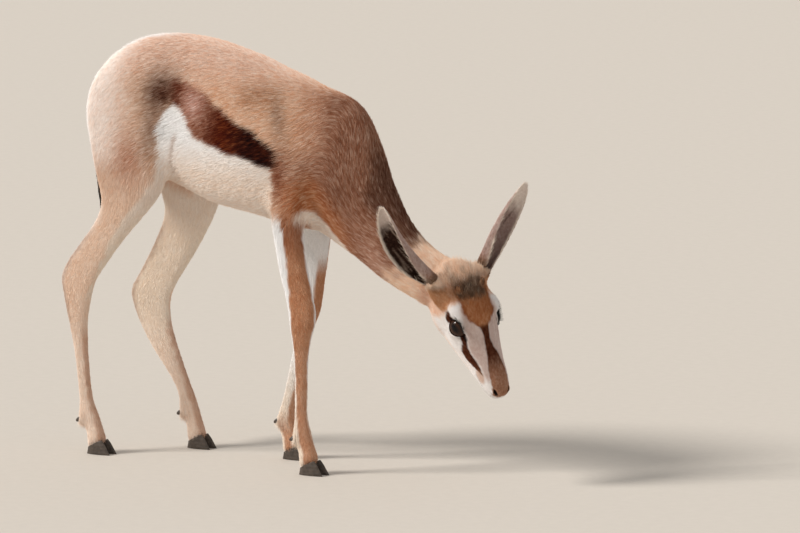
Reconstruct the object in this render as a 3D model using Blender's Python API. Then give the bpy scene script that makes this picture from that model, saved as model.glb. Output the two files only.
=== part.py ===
"""A young springbok that grazes, life size, as a still model.

Metres, +Z up. The animal faces +X, its left side is +Y, and all four feet stand on Z = 0.
"""

import math

import bmesh
import bpy
import numpy as np
from mathutils import Matrix, Vector
from mathutils.bvhtree import BVHTree

# Driving dimensions
rumpHeight = 0.658
earLength = 0.155
earRoot = 0.014
stubSlice = 0.012
eyeRadius = 0.0155
hoofLength = 0.045
hoofWidth = 0.0135
hornHeight = 0.013
seam = 0.0003
cleftHalf = 0.0004
coronetSlope = math.radians(26)
coronetHeight = 0.019
coronetNormal = Vector((-math.sin(coronetSlope), 0, math.cos(coronetSlope)))

# Surface resolution
voxelSize = 0.0026
ringSides = 28
fleshTriangles = 6800
headShare = 0.0013

# Head frame: the point between the eyes, then the directions to the muzzle, to the left and out of the forehead
headOrigin = Vector((0.4188, 0.003, 0.2462))
headAlong = Vector((0.481, -0.059, -0.875)).normalized()
headOut = Vector((0.743, -0.502, 0.443))
headOut = (headOut - headOut.dot(headAlong) * headAlong).normalized()
headLeft = headOut.cross(headAlong).normalized()

colours = {
    "tan": (0.50, 0.27, 0.14),
    "cream": (0.72, 0.60, 0.48),
    "hoof": (0.035, 0.028, 0.024),
    "horn": (0.05, 0.04, 0.035),
    "eye": (0.02, 0.012, 0.008),
    "tail": (0.08, 0.06, 0.05),
}


def clearScene():
    for old in list(bpy.data.objects):
        bpy.data.objects.remove(old)


def material(name, roughness=0.85):
    found = bpy.data.materials.get(name)
    if found:
        return found
    made = bpy.data.materials.new(name)
    made.use_nodes = True
    shader = made.node_tree.nodes["Principled BSDF"]
    shader.inputs["Base Color"].default_value = (*colours[name], 1.0)
    shader.inputs["Roughness"].default_value = roughness
    shader.inputs["Metallic"].default_value = 0.0
    return made


def meshObject(name, points, faces, slot="tan"):
    data = bpy.data.meshes.new(name)
    data.from_pydata([tuple(p) for p in points], [], faces)
    data.materials.append(material(slot))
    made = bpy.data.objects.new(name, data)
    bpy.context.scene.collection.objects.link(made)
    faceOut(made)
    return made


def faceOut(item):
    """Turns every face of a closed mesh outwards."""
    work = bmesh.new()
    work.from_mesh(item.data)
    bmesh.ops.recalc_face_normals(work, faces=work.faces)
    work.to_mesh(item.data)
    work.free()


def spline(rows, steps):
    """Rows of numbers, joined by a Catmull-Rom curve with this many steps between neighbours."""
    rows = np.array(rows, float)
    ends = np.vstack([2 * rows[0] - rows[1], rows, 2 * rows[-1] - rows[-2]])
    found = []
    for i in range(1, len(ends) - 2):
        before, first, second, after = ends[i - 1 : i + 3]
        for k in range(steps):
            t = k / steps
            bend = -before + 3 * first - 3 * second + after
            curve = 2 * before - 5 * first + 4 * second - after
            found.append(first + 0.5 * t * (second - before + t * (curve + t * bend)))
    found.append(rows[-1])
    return np.array(found)


def loft(name, rings, slot="tan"):
    """A closed skin through rings of points, with a flat cap at each end."""
    count = len(rings[0])
    points = [p for ring in rings for p in ring]
    faces = []
    for i in range(len(rings) - 1):
        for k in range(count):
            n = (k + 1) % count
            faces.append((i * count + k, i * count + n, (i + 1) * count + n, (i + 1) * count + k))
    faces.append(tuple(range(count)))
    faces.append(tuple((len(rings) - 1) * count + k for k in range(count)))
    return meshObject(name, points, faces, slot)


def ovalRing(top, bottom, side, level=0.5, square=1.0):
    """An oval ring from top to bottom, widest at that share of its height from the bottom."""
    middle = bottom + (top - bottom) * level
    ring = []
    for k in range(ringSides):
        angle = 2 * math.pi * k / ringSides
        across, up = math.cos(angle), math.sin(angle)
        across = math.copysign(abs(across) ** square, across)
        up = math.copysign(abs(up) ** square, up)
        reach = (top - middle) if up > 0 else (middle - bottom)
        ring.append(middle + reach * up + side * across)
    return ring


def limbLoft(name, rows, steps=3, square=0.94):
    """A loft from rows: upper or front point x, z; lower or rear point x, z; y; half width; widest level."""
    rings = []
    for ax, az, bx, bz, y, half, level in spline(rows, steps):
        rings.append(ovalRing(Vector((ax, y, az)), Vector((bx, y, bz)), Vector((0, half, 0)), level, square))
    return loft(name, rings)


def headPoint(along, left, out):
    return headOrigin + headAlong * along + headLeft * left + headOut * out


def ellipsoid(name, centre, axes, radii, fineness=3):
    """An ellipsoid about a centre, with its radii along three given directions."""
    data = bpy.data.meshes.new(name)
    work = bmesh.new()
    bmesh.ops.create_icosphere(work, subdivisions=fineness, radius=1.0)
    turn = Matrix([axes[0] * radii[0], axes[1] * radii[1], axes[2] * radii[2]]).transposed().to_4x4()
    bmesh.ops.transform(work, matrix=Matrix.Translation(centre) @ turn, verts=work.verts)
    bmesh.ops.recalc_face_normals(work, faces=work.faces)
    work.to_mesh(data)
    work.free()
    made = bpy.data.objects.new(name, data)
    bpy.context.scene.collection.objects.link(made)
    return made


headAxes = (headAlong, headLeft, headOut)


# Trunk and neck as one run, from the rump to the poll: back point, belly point, y, half width, widest level
trunkRows = [
    (-0.270, 0.560, -0.268, 0.500, 0, 0.030, 0.50),
    (-0.262, 0.583, -0.260, 0.470, 0, 0.046, 0.50),
    (-0.248, 0.603, -0.246, 0.450, 0, 0.058, 0.50),
    (-0.222, 0.626, -0.220, 0.438, 0, 0.067, 0.50),
    (-0.185, 0.645, -0.185, 0.433, 0, 0.073, 0.52),
    (-0.140, 0.656, -0.138, 0.430, 0, 0.070, 0.55),
    (-0.095, rumpHeight, -0.090, 0.413, 0, 0.067, 0.50),
    (-0.049, 0.654, -0.040, 0.396, 0, 0.072, 0.46),
    (-0.003, 0.643, 0.005, 0.389, 0, 0.078, 0.43),
    (0.040, 0.631, 0.045, 0.383, 0, 0.080, 0.43),
    (0.080, 0.616, 0.078, 0.376, 0, 0.075, 0.44),
    (0.115, 0.606, 0.105, 0.371, 0, 0.067, 0.46),
    (0.150, 0.592, 0.126, 0.368, 0, 0.060, 0.48),
    (0.182, 0.583, 0.143, 0.366, 0, 0.053, 0.50),
    (0.207, 0.573, 0.157, 0.361, 0, 0.048, 0.50),
    (0.228, 0.553, 0.172, 0.353, 0, 0.045, 0.50),
    (0.244, 0.525, 0.190, 0.343, 0, 0.042, 0.50),
    (0.258, 0.492, 0.209, 0.333, 0, 0.040, 0.50),
    (0.270, 0.459, 0.230, 0.321, 0, 0.037, 0.50),
    (0.285, 0.429, 0.250, 0.308, 0, 0.035, 0.50),
    (0.304, 0.397, 0.272, 0.296, 0.000, 0.033, 0.50),
    (0.332, 0.366, 0.297, 0.283, 0.003, 0.031, 0.50),
    (0.362, 0.345, 0.325, 0.270, 0.007, 0.030, 0.50),
    (0.386, 0.334, 0.350, 0.260, 0.010, 0.026, 0.50),
]

# Legs: front point, rear point, distance out from the middle plane, half width, widest level
nearForeRows = [
    (0.165, 0.510, 0.085, 0.510, 0.022, 0.028, 0.5),
    (0.164, 0.465, 0.080, 0.462, 0.032, 0.034, 0.5),
    (0.156, 0.425, 0.082, 0.425, 0.041, 0.032, 0.5),
    (0.146, 0.388, 0.090, 0.395, 0.050, 0.025, 0.5),
    (0.150, 0.350, 0.100, 0.350, 0.054, 0.0205, 0.5),
    (0.157, 0.315, 0.109, 0.312, 0.056, 0.018, 0.5),
    (0.166, 0.280, 0.120, 0.275, 0.057, 0.0155, 0.5),
    (0.173, 0.252, 0.127, 0.247, 0.058, 0.0155, 0.5),
    (0.172, 0.232, 0.130, 0.226, 0.058, 0.0160, 0.5),
    (0.165, 0.208, 0.134, 0.200, 0.058, 0.0130, 0.5),
    (0.160, 0.175, 0.1365, 0.170, 0.058, 0.0100, 0.5),
    (0.159, 0.130, 0.137, 0.130, 0.058, 0.0092, 0.5),
    (0.159, 0.090, 0.137, 0.088, 0.058, 0.0095, 0.5),
    (0.164, 0.068, 0.135, 0.058, 0.058, 0.0120, 0.5),
]
farForeRows = [
    (0.150, 0.510, 0.075, 0.510, 0.022, 0.028, 0.5),
    (0.147, 0.465, 0.067, 0.462, 0.032, 0.034, 0.5),
    (0.140, 0.425, 0.062, 0.425, 0.041, 0.032, 0.5),
    (0.133, 0.385, 0.065, 0.395, 0.050, 0.025, 0.5),
    (0.127, 0.350, 0.070, 0.355, 0.053, 0.0205, 0.5),
    (0.121, 0.315, 0.072, 0.318, 0.054, 0.018, 0.5),
    (0.115, 0.282, 0.071, 0.285, 0.055, 0.0155, 0.5),
    (0.111, 0.255, 0.068, 0.260, 0.055, 0.0155, 0.5),
    (0.105, 0.230, 0.065, 0.240, 0.055, 0.0160, 0.5),
    (0.094, 0.206, 0.064, 0.216, 0.055, 0.0130, 0.5),
    (0.083, 0.173, 0.060, 0.179, 0.055, 0.0100, 0.5),
    (0.072, 0.129, 0.050, 0.135, 0.055, 0.0092, 0.5),
    (0.062, 0.090, 0.040, 0.095, 0.055, 0.0095, 0.5),
    (0.059, 0.068, 0.030, 0.062, 0.055, 0.0120, 0.5),
]
nearHindRows = [
    (-0.112, 0.575, -0.252, 0.575, 0.034, 0.034, 0.5),
    (-0.105, 0.530, -0.258, 0.535, 0.041, 0.036, 0.5),
    (-0.101, 0.485, -0.250, 0.500, 0.048, 0.035, 0.5),
    (-0.101, 0.448, -0.242, 0.470, 0.054, 0.032, 0.5),
    (-0.109, 0.415, -0.231, 0.437, 0.059, 0.028, 0.5),
    (-0.131, 0.386, -0.220, 0.408, 0.062, 0.024, 0.5),
    (-0.158, 0.357, -0.220, 0.385, 0.064, 0.020, 0.5),
    (-0.185, 0.327, -0.236, 0.357, 0.065, 0.0165, 0.5),
    (-0.209, 0.297, -0.258, 0.329, 0.066, 0.0140, 0.5),
    (-0.229, 0.270, -0.280, 0.302, 0.066, 0.0125, 0.5),
    (-0.237, 0.248, -0.293, 0.276, 0.066, 0.0135, 0.5),
    (-0.242, 0.228, -0.289, 0.248, 0.066, 0.0130, 0.5),
    (-0.246, 0.205, -0.280, 0.208, 0.066, 0.0115, 0.5),
    (-0.246, 0.171, -0.271, 0.168, 0.066, 0.0098, 0.5),
    (-0.242, 0.122, -0.264, 0.119, 0.066, 0.0092, 0.5),
    (-0.237, 0.086, -0.260, 0.083, 0.066, 0.0098, 0.5),
    (-0.230, 0.068, -0.260, 0.056, 0.066, 0.0122, 0.5),
]
farHindRows = [
    (-0.105, 0.575, -0.250, 0.575, 0.034, 0.034, 0.5),
    (-0.090, 0.530, -0.250, 0.535, 0.041, 0.036, 0.5),
    (-0.076, 0.480, -0.240, 0.495, 0.048, 0.035, 0.5),
    (-0.073, 0.437, -0.222, 0.458, 0.054, 0.032, 0.5),
    (-0.080, 0.400, -0.205, 0.425, 0.059, 0.028, 0.5),
    (-0.095, 0.366, -0.191, 0.395, 0.062, 0.024, 0.5),
    (-0.116, 0.331, -0.188, 0.368, 0.064, 0.020, 0.5),
    (-0.137, 0.300, -0.200, 0.338, 0.065, 0.0165, 0.5),
    (-0.155, 0.275, -0.217, 0.305, 0.066, 0.0140, 0.5),
    (-0.170, 0.253, -0.238, 0.270, 0.066, 0.0125, 0.5),
    (-0.180, 0.230, -0.254, 0.243, 0.066, 0.0135, 0.5),
    (-0.181, 0.208, -0.249, 0.217, 0.066, 0.0130, 0.5),
    (-0.178, 0.190, -0.234, 0.184, 0.066, 0.0125, 0.5),
    (-0.170, 0.165, -0.210, 0.147, 0.066, 0.0110, 0.5),
    (-0.156, 0.130, -0.185, 0.116, 0.066, 0.0098, 0.5),
    (-0.142, 0.097, -0.166, 0.087, 0.066, 0.0098, 0.5),
    (-0.131, 0.070, -0.161, 0.058, 0.066, 0.0122, 0.5),
]

# Each leg: its rows, the side it is on (-1 is the animal's right) and the middle of its hoof along x
legs = {
    "fore_leg_right": (nearForeRows, -1, 0.168),
    "fore_leg_left": (farForeRows, 1, 0.062),
    "hind_leg_right": (nearHindRows, -1, -0.223),
    "hind_leg_left": (farHindRows, 1, -0.125),
}

# Below the fetlock: front point and rear point from the middle of the hoof, half width
pasternRows = [
    (0.001, 0.050, -0.025, 0.038, 0.0112),
    (0.005, 0.036, -0.021, 0.024, 0.0128),
    (0.009, 0.024, -0.019, 0.010, 0.0138),
    (0.013, 0.010, -0.019, -0.004, 0.0138),
]

# Head: distance along it, forehead height, jaw depth, half width, widest level
headRows = [
    (-0.100, 0.010, -0.022, 0.018, 0.5),
    (-0.087, 0.024, -0.040, 0.030, 0.54),
    (-0.065, 0.036, -0.056, 0.037, 0.58),
    (-0.035, 0.0405, -0.063, 0.0410, 0.60),
    (-0.005, 0.038, -0.0635, 0.0400, 0.62),
    (0.020, 0.032, -0.058, 0.0345, 0.60),
    (0.042, 0.0265, -0.051, 0.0290, 0.57),
    (0.064, 0.0225, -0.0425, 0.0245, 0.55),
    (0.084, 0.0190, -0.035, 0.0220, 0.52),
    (0.100, 0.0160, -0.029, 0.0200, 0.50),
    (0.112, 0.0115, -0.0235, 0.0165, 0.50),
    (0.119, 0.0065, -0.018, 0.0120, 0.50),
    (0.122, 0.0010, -0.011, 0.0060, 0.50),
]

# Horn bud and dewclaw: reach from the skin, radius
hornRows = [(-0.25, 0.0050), (0.0, 0.0050), (0.35, 0.0042), (0.7, 0.0030), (1.0, 0.0014)]
spurRows = [(-0.0025, 0.0038), (0.0, 0.0040), (0.003, 0.0038), (0.006, 0.0026), (0.0075, 0.0012)]
eyePlace = (0.002, 0.0268, 0.008)
hornPlace = (-0.043, 0.0195)
mouthLevel = -0.0125

# Ears: root in the head's frame, direction, and where the cup opens; -1 is the right ear
earRoots = {-1: (-0.065, -0.039, 0.010), 1: (-0.065, 0.0345, 0.012)}
earWays = {-1: Vector((-0.312, -0.516, 0.799)), 1: Vector((0.330, 0.357, 0.879))}
earMouths = {-1: Vector((-0.25, -0.92, 0.08)), 1: Vector((0.80, 0.10, 0.46))}
earBows = {-1: Vector((-0.0074, -0.0058, -0.0064)), 1: Vector((-0.0016, -0.0010, 0.0))}
earBreadths = {-1: 1.24, 1: 1.0}


def footRows(rows, out, hoofX):
    """A leg's rows with its pastern below them."""
    below = [(hoofX + a, b, hoofX + c, d, out, half, 0.5) for a, b, c, d, half in pasternRows]
    return [*rows, *below]


def fleshPieces():
    pieces = [limbLoft("trunk", trunkRows, 3, 0.92)]
    for name, (rows, side, hoofX) in legs.items():
        whole = footRows(rows, rows[-1][4], hoofX)
        signed = [(*row[:4], side * row[4], *row[5:]) for row in whole]
        pieces.append(limbLoft(name + "_form", signed, 4))
    rings = []
    for along, top, bottom, half, level in spline(headRows, 4):
        rings.append(ovalRing(headPoint(along, 0, top), headPoint(along, 0, bottom), headLeft * half, level, 0.88))
    pieces.append(loft("skull", rings))
    for side in (-1, 1):
        eye = headPoint(eyePlace[0], side * eyePlace[1], eyePlace[2])
        pieces.append(ellipsoid("orbit", eye, headAxes, [eyeRadius + 0.0034] * 3))
        pieces.append(ellipsoid("brow", headPoint(-0.013, side * 0.0305, 0.0235), headAxes, (0.022, 0.0130, 0.0090)))
        pieces.append(ellipsoid("cheek", headPoint(-0.030, side * 0.026, -0.026), headAxes, (0.036, 0.0150, 0.030)))
        pieces.append(earStub(side))
    return pieces


def earStub(side):
    """The fleshy root that an ear stands on, which a flat cut ends."""
    root = headPoint(*earRoots[side])
    way = earWays[side].normalized()
    across = headOut.cross(way).normalized()
    other = way.cross(across)
    rings = []
    for reach, radius in ((-0.022, 0.017), (-0.005, 0.0155), (0.010, 0.0140), (0.022, 0.0130)):
        middle = root + way * reach
        rings.append([
            middle + across * radius * math.cos(t) + other * radius * math.sin(t)
            for t in (2 * math.pi * k / ringSides for k in range(ringSides))
        ])
    return loft("ear_stub", rings)


def joined(name, pieces):
    """All pieces' meshes in one object."""
    work = bmesh.new()
    for piece in pieces:
        work.from_mesh(piece.data)
        bpy.data.objects.remove(piece)
    data = bpy.data.meshes.new(name)
    work.to_mesh(data)
    work.free()
    made = bpy.data.objects.new(name, data)
    bpy.context.scene.collection.objects.link(made)
    return made


def applied(item, kind, **settings):
    """The object with one modifier applied."""
    modifier = item.modifiers.new(kind.title(), kind)
    for key, value in settings.items():
        setattr(modifier, key, value)
    graph = bpy.context.evaluated_depsgraph_get()
    baked = bpy.data.meshes.new_from_object(item.evaluated_get(graph))
    item.modifiers.clear()
    old = item.data
    item.data = baked
    bpy.data.meshes.remove(old)
    return item


def keepLargest(item):
    """Removes every closed surface of a mesh but the largest."""
    work = bmesh.new()
    work.from_mesh(item.data)
    shells = shellsOf(work)
    biggest = max(shells, key=len)
    extra = [v for shell in shells if shell is not biggest for v in shell]
    bmesh.ops.delete(work, geom=extra, context="VERTS")
    work.to_mesh(item.data)
    work.free()


def shellsOf(work):
    """The vertices of each separate surface of a bmesh."""
    seen = set()
    shells = []
    for start in work.verts:
        if start in seen:
            continue
        shell = []
        seen.add(start)
        stack = [start]
        while stack:
            vertex = stack.pop()
            shell.append(vertex)
            for edge in vertex.link_edges:
                other = edge.other_vert(vertex)
                if other not in seen:
                    seen.add(other)
                    stack.append(other)
        shells.append(shell)
    return shells


def ramp(value, low, high):
    return min(1.0, max(0.0, (value - low) / (high - low)))


def fleshForm():
    """The whole animal's flesh as one smooth closed surface."""
    flesh = joined("flesh", fleshPieces())
    applied(flesh, "REMESH", mode="VOXEL", voxel_size=voxelSize)
    keepLargest(flesh)
    soft = flesh.vertex_groups.new(name="soft")
    for vertex in flesh.data.vertices:
        height = vertex.co.z
        headNear = (vertex.co - headPoint(0.02, 0, 0)).length
        weight = ramp(height, 0.30, 0.42) * ramp(headNear, 0.12, 0.18)
        soft.add([vertex.index], max(weight, 0.04), "REPLACE")
    applied(flesh, "SMOOTH", factor=0.5, iterations=8)
    applied(flesh, "SMOOTH", factor=0.5, iterations=110, vertex_group="soft")
    keep = flesh.vertex_groups.new(name="coarse")
    for vertex in flesh.data.vertices:
        headNear = (vertex.co - headPoint(0.0, 0, 0)).length
        weight = 0.5 + 0.5 * ramp(headNear, 0.10, 0.16)
        keep.add([vertex.index], weight, "REPLACE")
    applied(flesh, "TRIANGULATE")
    ratio = fleshTriangles / len(flesh.data.polygons)
    applied(flesh, "DECIMATE", ratio=ratio, vertex_group="coarse", vertex_group_factor=headShare)
    return flesh


def plate(name, centre, normal, along, length, width, thickness=seam):
    """A thin flat cutter about a point."""
    up = normal.normalized()
    side = (along - along.dot(up) * up).normalized()
    other = up.cross(side)
    points = []
    for h in (-0.5, 0.5):
        for a, b in ((-0.5, -0.5), (0.5, -0.5), (0.5, 0.5), (-0.5, 0.5)):
            points.append(centre + side * a * length + other * b * width + up * h * thickness)
    faces = [(0, 3, 2, 1), (4, 5, 6, 7), (0, 1, 5, 4), (1, 2, 6, 5), (2, 3, 7, 6), (3, 0, 4, 7)]
    made = meshObject(name, points, faces)
    made.hide_render = True
    made.display_type = "WIRE"
    return made


def cut(item, cutters):
    """The item less all its cutters, which are then removed."""
    group = bpy.data.collections.new("cutters")
    bpy.context.scene.collection.children.link(group)
    for cutter in cutters:
        group.objects.link(cutter)
    applied(item, "BOOLEAN", operation="DIFFERENCE", operand_type="COLLECTION", collection=group, solver="EXACT")
    for cutter in cutters:
        bpy.data.objects.remove(cutter)
    bpy.data.collections.remove(group)


# Where each leg parts from the torso: middle of the cut, its normal, its run, length and width
limbCuts = {
    "fore_leg_right": (Vector((0.118, -0.054, 0.386)), Vector((0, 0.5, 1)), Vector((1, 0, 0)), 0.17, 0.108),
    "fore_leg_left": (Vector((0.105, 0.054, 0.386)), Vector((0, -0.5, 1)), Vector((1, 0, 0)), 0.17, 0.108),
    "hind_leg_right": (Vector((-0.176, -0.054, 0.438)), Vector((0, 0.45, 1)), Vector((1, 0, 0)), 0.22, 0.108),
    "hind_leg_left": (Vector((-0.150, 0.056, 0.425)), Vector((0.30, -0.45, 1)), Vector((1, 0, 0)), 0.24, 0.108),
}


def seamCutters():
    """The thin cuts that part the flesh into the head, the neck, the torso and the legs."""
    cutters = []
    for name, (rows, side, hoofX) in legs.items():
        out = rows[-1][4]
        middle = Vector((hoofX, side * out, coronetHeight)) - coronetNormal * 0.03
        cutters.append(plate("foot", middle, coronetNormal, Vector((0, 1, 0)), 0.09, 0.09, 0.06))
        cutters.append(plate("hip", *limbCuts[name]))
    base = Vector((0.183, 0, 0.468))
    cutters.append(plate("neck_base", base, Vector((0.97, 0, -0.24)), Vector((0, 1, 0)), 0.30, 0.36))
    nape = Vector((0.352, 0.006, 0.310))
    cutters.append(plate("nape", nape, Vector((0.887, 0, -0.461)), Vector((0, 1, 0)), 0.13, 0.15))
    for side in (-1, 1):
        way = earWays[side].normalized()
        root = headPoint(*earRoots[side]) + way * (earRoot + stubSlice / 2)
        cutters.append(plate("ear_base", root, way, headOut, 0.038, 0.038, stubSlice))
    return cutters


# A point in each flesh node, by which the parted pieces get their names
nodePlaces = {
    "head": headOrigin,
    "neck": Vector((0.255, 0, 0.40)),
    "torso": Vector((-0.02, 0, 0.52)),
    "fore_leg_right": Vector((0.145, -0.056, 0.20)),
    "fore_leg_left": Vector((0.085, 0.056, 0.20)),
    "hind_leg_right": Vector((-0.235, -0.066, 0.25)),
    "hind_leg_left": Vector((-0.17, 0.066, 0.22)),
}


def partNodes(flesh):
    """Splits the parted flesh into named nodes and drops the cut-off scraps."""
    work = bmesh.new()
    work.from_mesh(flesh.data)
    shells = shellsOf(work)
    nodes = {}
    for name, place in nodePlaces.items():
        best = None
        for shell in shells:
            middle = sum((v.co for v in shell), Vector()) / len(shell)
            score = (middle - place).length
            if len(shell) > 60 and (best is None or score < best[0]):
                best = (score, shell)
        inside = set(best[1])
        index = {v: i for i, v in enumerate(best[1])}
        faces = [[index[v] for v in f.verts] for f in work.faces if f.verts[0] in inside]
        nodes[name] = meshObject(name, [v.co.copy() for v in best[1]], faces)
        nodes[name].data.shade_smooth()
    work.free()
    bpy.data.objects.remove(flesh)
    return nodes


def claw(name, hoofX, y, side, spread):
    """One half of a hoof: a flat sole, walls that slope back, and a flat top under the pastern."""
    sides = 12
    rings = []
    for rise in (0.0, 0.12, 0.6, 1.0):
        ring = []
        back = -hoofLength * 0.44 + rise * hoofLength * 0.06
        front = hoofLength * 0.56 - rise * hoofLength * 0.36
        half = hoofWidth * 0.5 * (1.0 - 0.10 * rise) * (0.93 if rise == 0 else 1.0)
        for k in range(sides):
            angle = 2 * math.pi * k / sides
            along = 0.5 * (back + front) + 0.5 * (front - back) * math.cos(angle)
            taper = 1.0 - 0.55 * ramp(along, back, front) ** 2.2
            across = half * math.sin(angle) * taper
            top = coronetHeight - seam / math.cos(coronetSlope) + along * math.tan(coronetSlope)
            splay = side * spread * (along - back)
            inner = side * (hoofWidth * 0.5 + cleftHalf)
            ring.append(Vector((hoofX + along, y + inner + across + splay, rise * top)))
        rings.append(ring)
    return loft(name, rings, "hoof")


def hooves():
    for name, (rows, side, hoofX) in legs.items():
        y = side * rows[-1][4]
        short = name.replace("_leg", "")
        claw(short + "_claw_outer", hoofX, y, side, 0.05)
        claw(short + "_claw_inner", hoofX, y, -side, 0.05)


# Ear, from root to tip: share of its length, radius of the cup, half opening of the sheet in degrees, wall
earRows = [
    (0.00, 0.0125, 150, 0.0021),
    (0.12, 0.0132, 140, 0.0021),
    (0.26, 0.0152, 118, 0.0021),
    (0.42, 0.0172, 98, 0.0021),
    (0.60, 0.0180, 84, 0.0020),
    (0.76, 0.0170, 72, 0.0019),
    (0.88, 0.0143, 62, 0.0018),
    (0.96, 0.0102, 52, 0.0017),
    (1.00, 0.0060, 40, 0.0016),
]


def ear(side):
    """A cupped sheet from a narrow root to a blunt point."""
    way = earWays[side].normalized()
    base = headPoint(*earRoots[side]) + way * (earRoot + seam)
    mouth = earMouths[side]
    mouth = (mouth - mouth.dot(way) * way).normalized()
    across = way.cross(mouth).normalized()
    sides = 7
    rings = []
    for reach, radius, spread, wall in spline(earRows, 2):
        radius *= 1 + (earBreadths[side] - 1) * ramp(reach, 0, 0.25)
        back = earRows[0][1] * (1 - 0.6 * reach) + 0.004 * math.sin(math.pi * reach)
        middle = base + way * (reach * (earLength - earRoot)) + mouth * (radius - back)
        middle += earBows[side] * math.sin(math.pi * reach)
        outer = []
        inner = []
        for k in range(sides + 1):
            angle = math.radians(spread) * (2 * k / sides - 1)
            out = across * math.sin(angle) - mouth * math.cos(angle)
            outer.append(middle + out * radius)
            inner.append(middle + out * (radius - wall))
        rings.append(outer + inner[::-1])
    made = loft("ear_right" if side < 0 else "ear_left", rings, "cream")
    made.data.shade_smooth()


# Tail, from root to tip: x, z, radius
tailRows = [
    (-0.252, 0.588, 0.0100),
    (-0.264, 0.578, 0.0095),
    (-0.272, 0.560, 0.0085),
    (-0.275, 0.528, 0.0070),
    (-0.273, 0.480, 0.0058),
    (-0.268, 0.425, 0.0062),
    (-0.264, 0.385, 0.0052),
    (-0.262, 0.352, 0.0014),
]


def tube(name, path, grow=0.0, sides=10, slot="tan"):
    """A round closed tube along points with radii, made thicker all over by grow."""
    rings = []
    for i, (point, radius) in enumerate(path):
        ahead = path[min(i + 1, len(path) - 1)][0] - path[max(i - 1, 0)][0]
        way = ahead.normalized()
        across = way.orthogonal().normalized() if i == 0 else (across - across.dot(way) * way).normalized()
        other = way.cross(across)
        shift = -grow * way if i == 0 else (grow * way if i == len(path) - 1 else Vector())
        turns = (2 * math.pi * k / sides for k in range(sides))
        middle = point + shift
        rings.append([middle + (across * math.cos(t) + other * math.sin(t)) * (radius + grow) for t in turns])
    made = loft(name, rings, slot)
    made.data.shade_smooth()
    return made


def tail(torso):
    """The tail lies in a shallow groove of the rump and then hangs free."""
    path = [(Vector((x, 0, z)), radius) for x, z, radius in spline(tailRows, 2)]
    cut(torso, [tube("tail_groove", path, seam * 1.5)])
    keepLargest(torso)
    tube("tail", path, slot="tail")


def meets(tree, start, way):
    """Where a ray meets a surface."""
    return tree.ray_cast(start, way.normalized())[0]


def faceDetails(head):
    """The line of the mouth, the nostrils and the two horn buds."""
    work = bmesh.new()
    work.from_mesh(head.data)
    tree = BVHTree.FromBMesh(work)
    work.free()
    lips = []
    for along in (0.074, 0.084, 0.094, 0.102):
        lips.append(meets(tree, headPoint(along, -0.08, mouthLevel), headLeft))
    for turn in (-60, -30, 0, 30, 60):
        angle = math.radians(turn)
        way = headAlong * math.cos(angle) + headLeft * math.sin(angle)
        inside = headPoint(0.100, 0, mouthLevel)
        lips.append(meets(tree, inside + way * 0.08, -way))
    for along in (0.102, 0.094, 0.084, 0.074):
        lips.append(meets(tree, headPoint(along, 0.08, mouthLevel), -headLeft))
    cutters = [tube("mouth_line", [(point, 0.0011) for point in lips], sides=8)]
    for side, name in ((-1, "horn_right"), (1, "horn_left")):
        aim = headAlong * 0.80 + headLeft * side * 0.45 + headOut * 0.40
        surface = meets(tree, headPoint(0.106, side * 0.0085, 0.002) + aim * 0.08, -aim)
        axes = (aim.normalized(), (headLeft * side * 0.6 + headOut * 0.8).normalized())
        third = axes[0].cross(axes[1]).normalized()
        cutters.append(ellipsoid("nostril", surface, (axes[0], third.cross(axes[0]), third), (0.004, 0.0042, 0.0017), 2))
        rise = (headOut * 0.75 - headAlong * 0.66 + headLeft * side * 0.12).normalized()
        seat = meets(tree, headPoint(hornPlace[0], side * hornPlace[1], 0.10), -headOut)
        bud = [(seat + rise * (reach * hornHeight), radius) for reach, radius in hornRows]
        cutters.append(tube("horn_seat", bud, seam * 1.3))
        tube(name, bud, slot="horn")
    cut(head, cutters)
    keepLargest(head)


def eyes(head):
    """Sockets with lids about each ball, and the balls themselves."""
    cutters = []
    for side, name in ((-1, "eye_right"), (1, "eye_left")):
        centre = headPoint(eyePlace[0], side * eyePlace[1], eyePlace[2])
        gaze = (headLeft * side * 0.80 + headOut * 0.59 + headAlong * 0.08).normalized()
        slant = (headAlong * 0.93 - headOut * 0.36).normalized()
        slant = (slant - slant.dot(gaze) * gaze).normalized()
        rise = gaze.cross(slant)
        socket = ellipsoid("socket", centre, (gaze, slant, rise), [eyeRadius + seam] * 3)
        opening = ellipsoid("opening", centre + gaze * 0.0146, (gaze, slant, rise), (0.012, 0.0162, 0.0108))
        cutters += [socket, opening]
        ball = ellipsoid(name, centre, (gaze, slant, rise), [eyeRadius] * 3)
        ball.data.materials.append(material("eye", 0.1))
        ball.data.shade_smooth()
    cut(head, cutters)
    keepLargest(head)


def dewclaws():
    """Two small spurs behind each fetlock, each in a seat of its own."""
    for name, (rows, side, hoofX) in legs.items():
        leg = bpy.data.objects[name]
        work = bmesh.new()
        work.from_mesh(leg.data)
        tree = BVHTree.FromBMesh(work)
        work.free()
        rear = Vector((rows[-1][2] + 0.006, side * rows[-1][4], rows[-1][3] - 0.002))
        seats = []
        for hand, label in ((1, "left"), (-1, "right")):
            way = Vector((-0.84, hand * 0.34, -0.42)).normalized()
            surface = meets(tree, rear + Vector((0, hand * 0.0048, 0)) + way * 0.05, -way)
            spur = [(surface + way * reach, radius) for reach, radius in spurRows]
            seats.append(tube("spur_seat", spur, seam * 1.3, 8))
            tube(name.replace("_leg", "") + "_dewclaw_" + label, spur, sides=8, slot="hoof")
        cut(leg, seats)
        keepLargest(leg)


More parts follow.
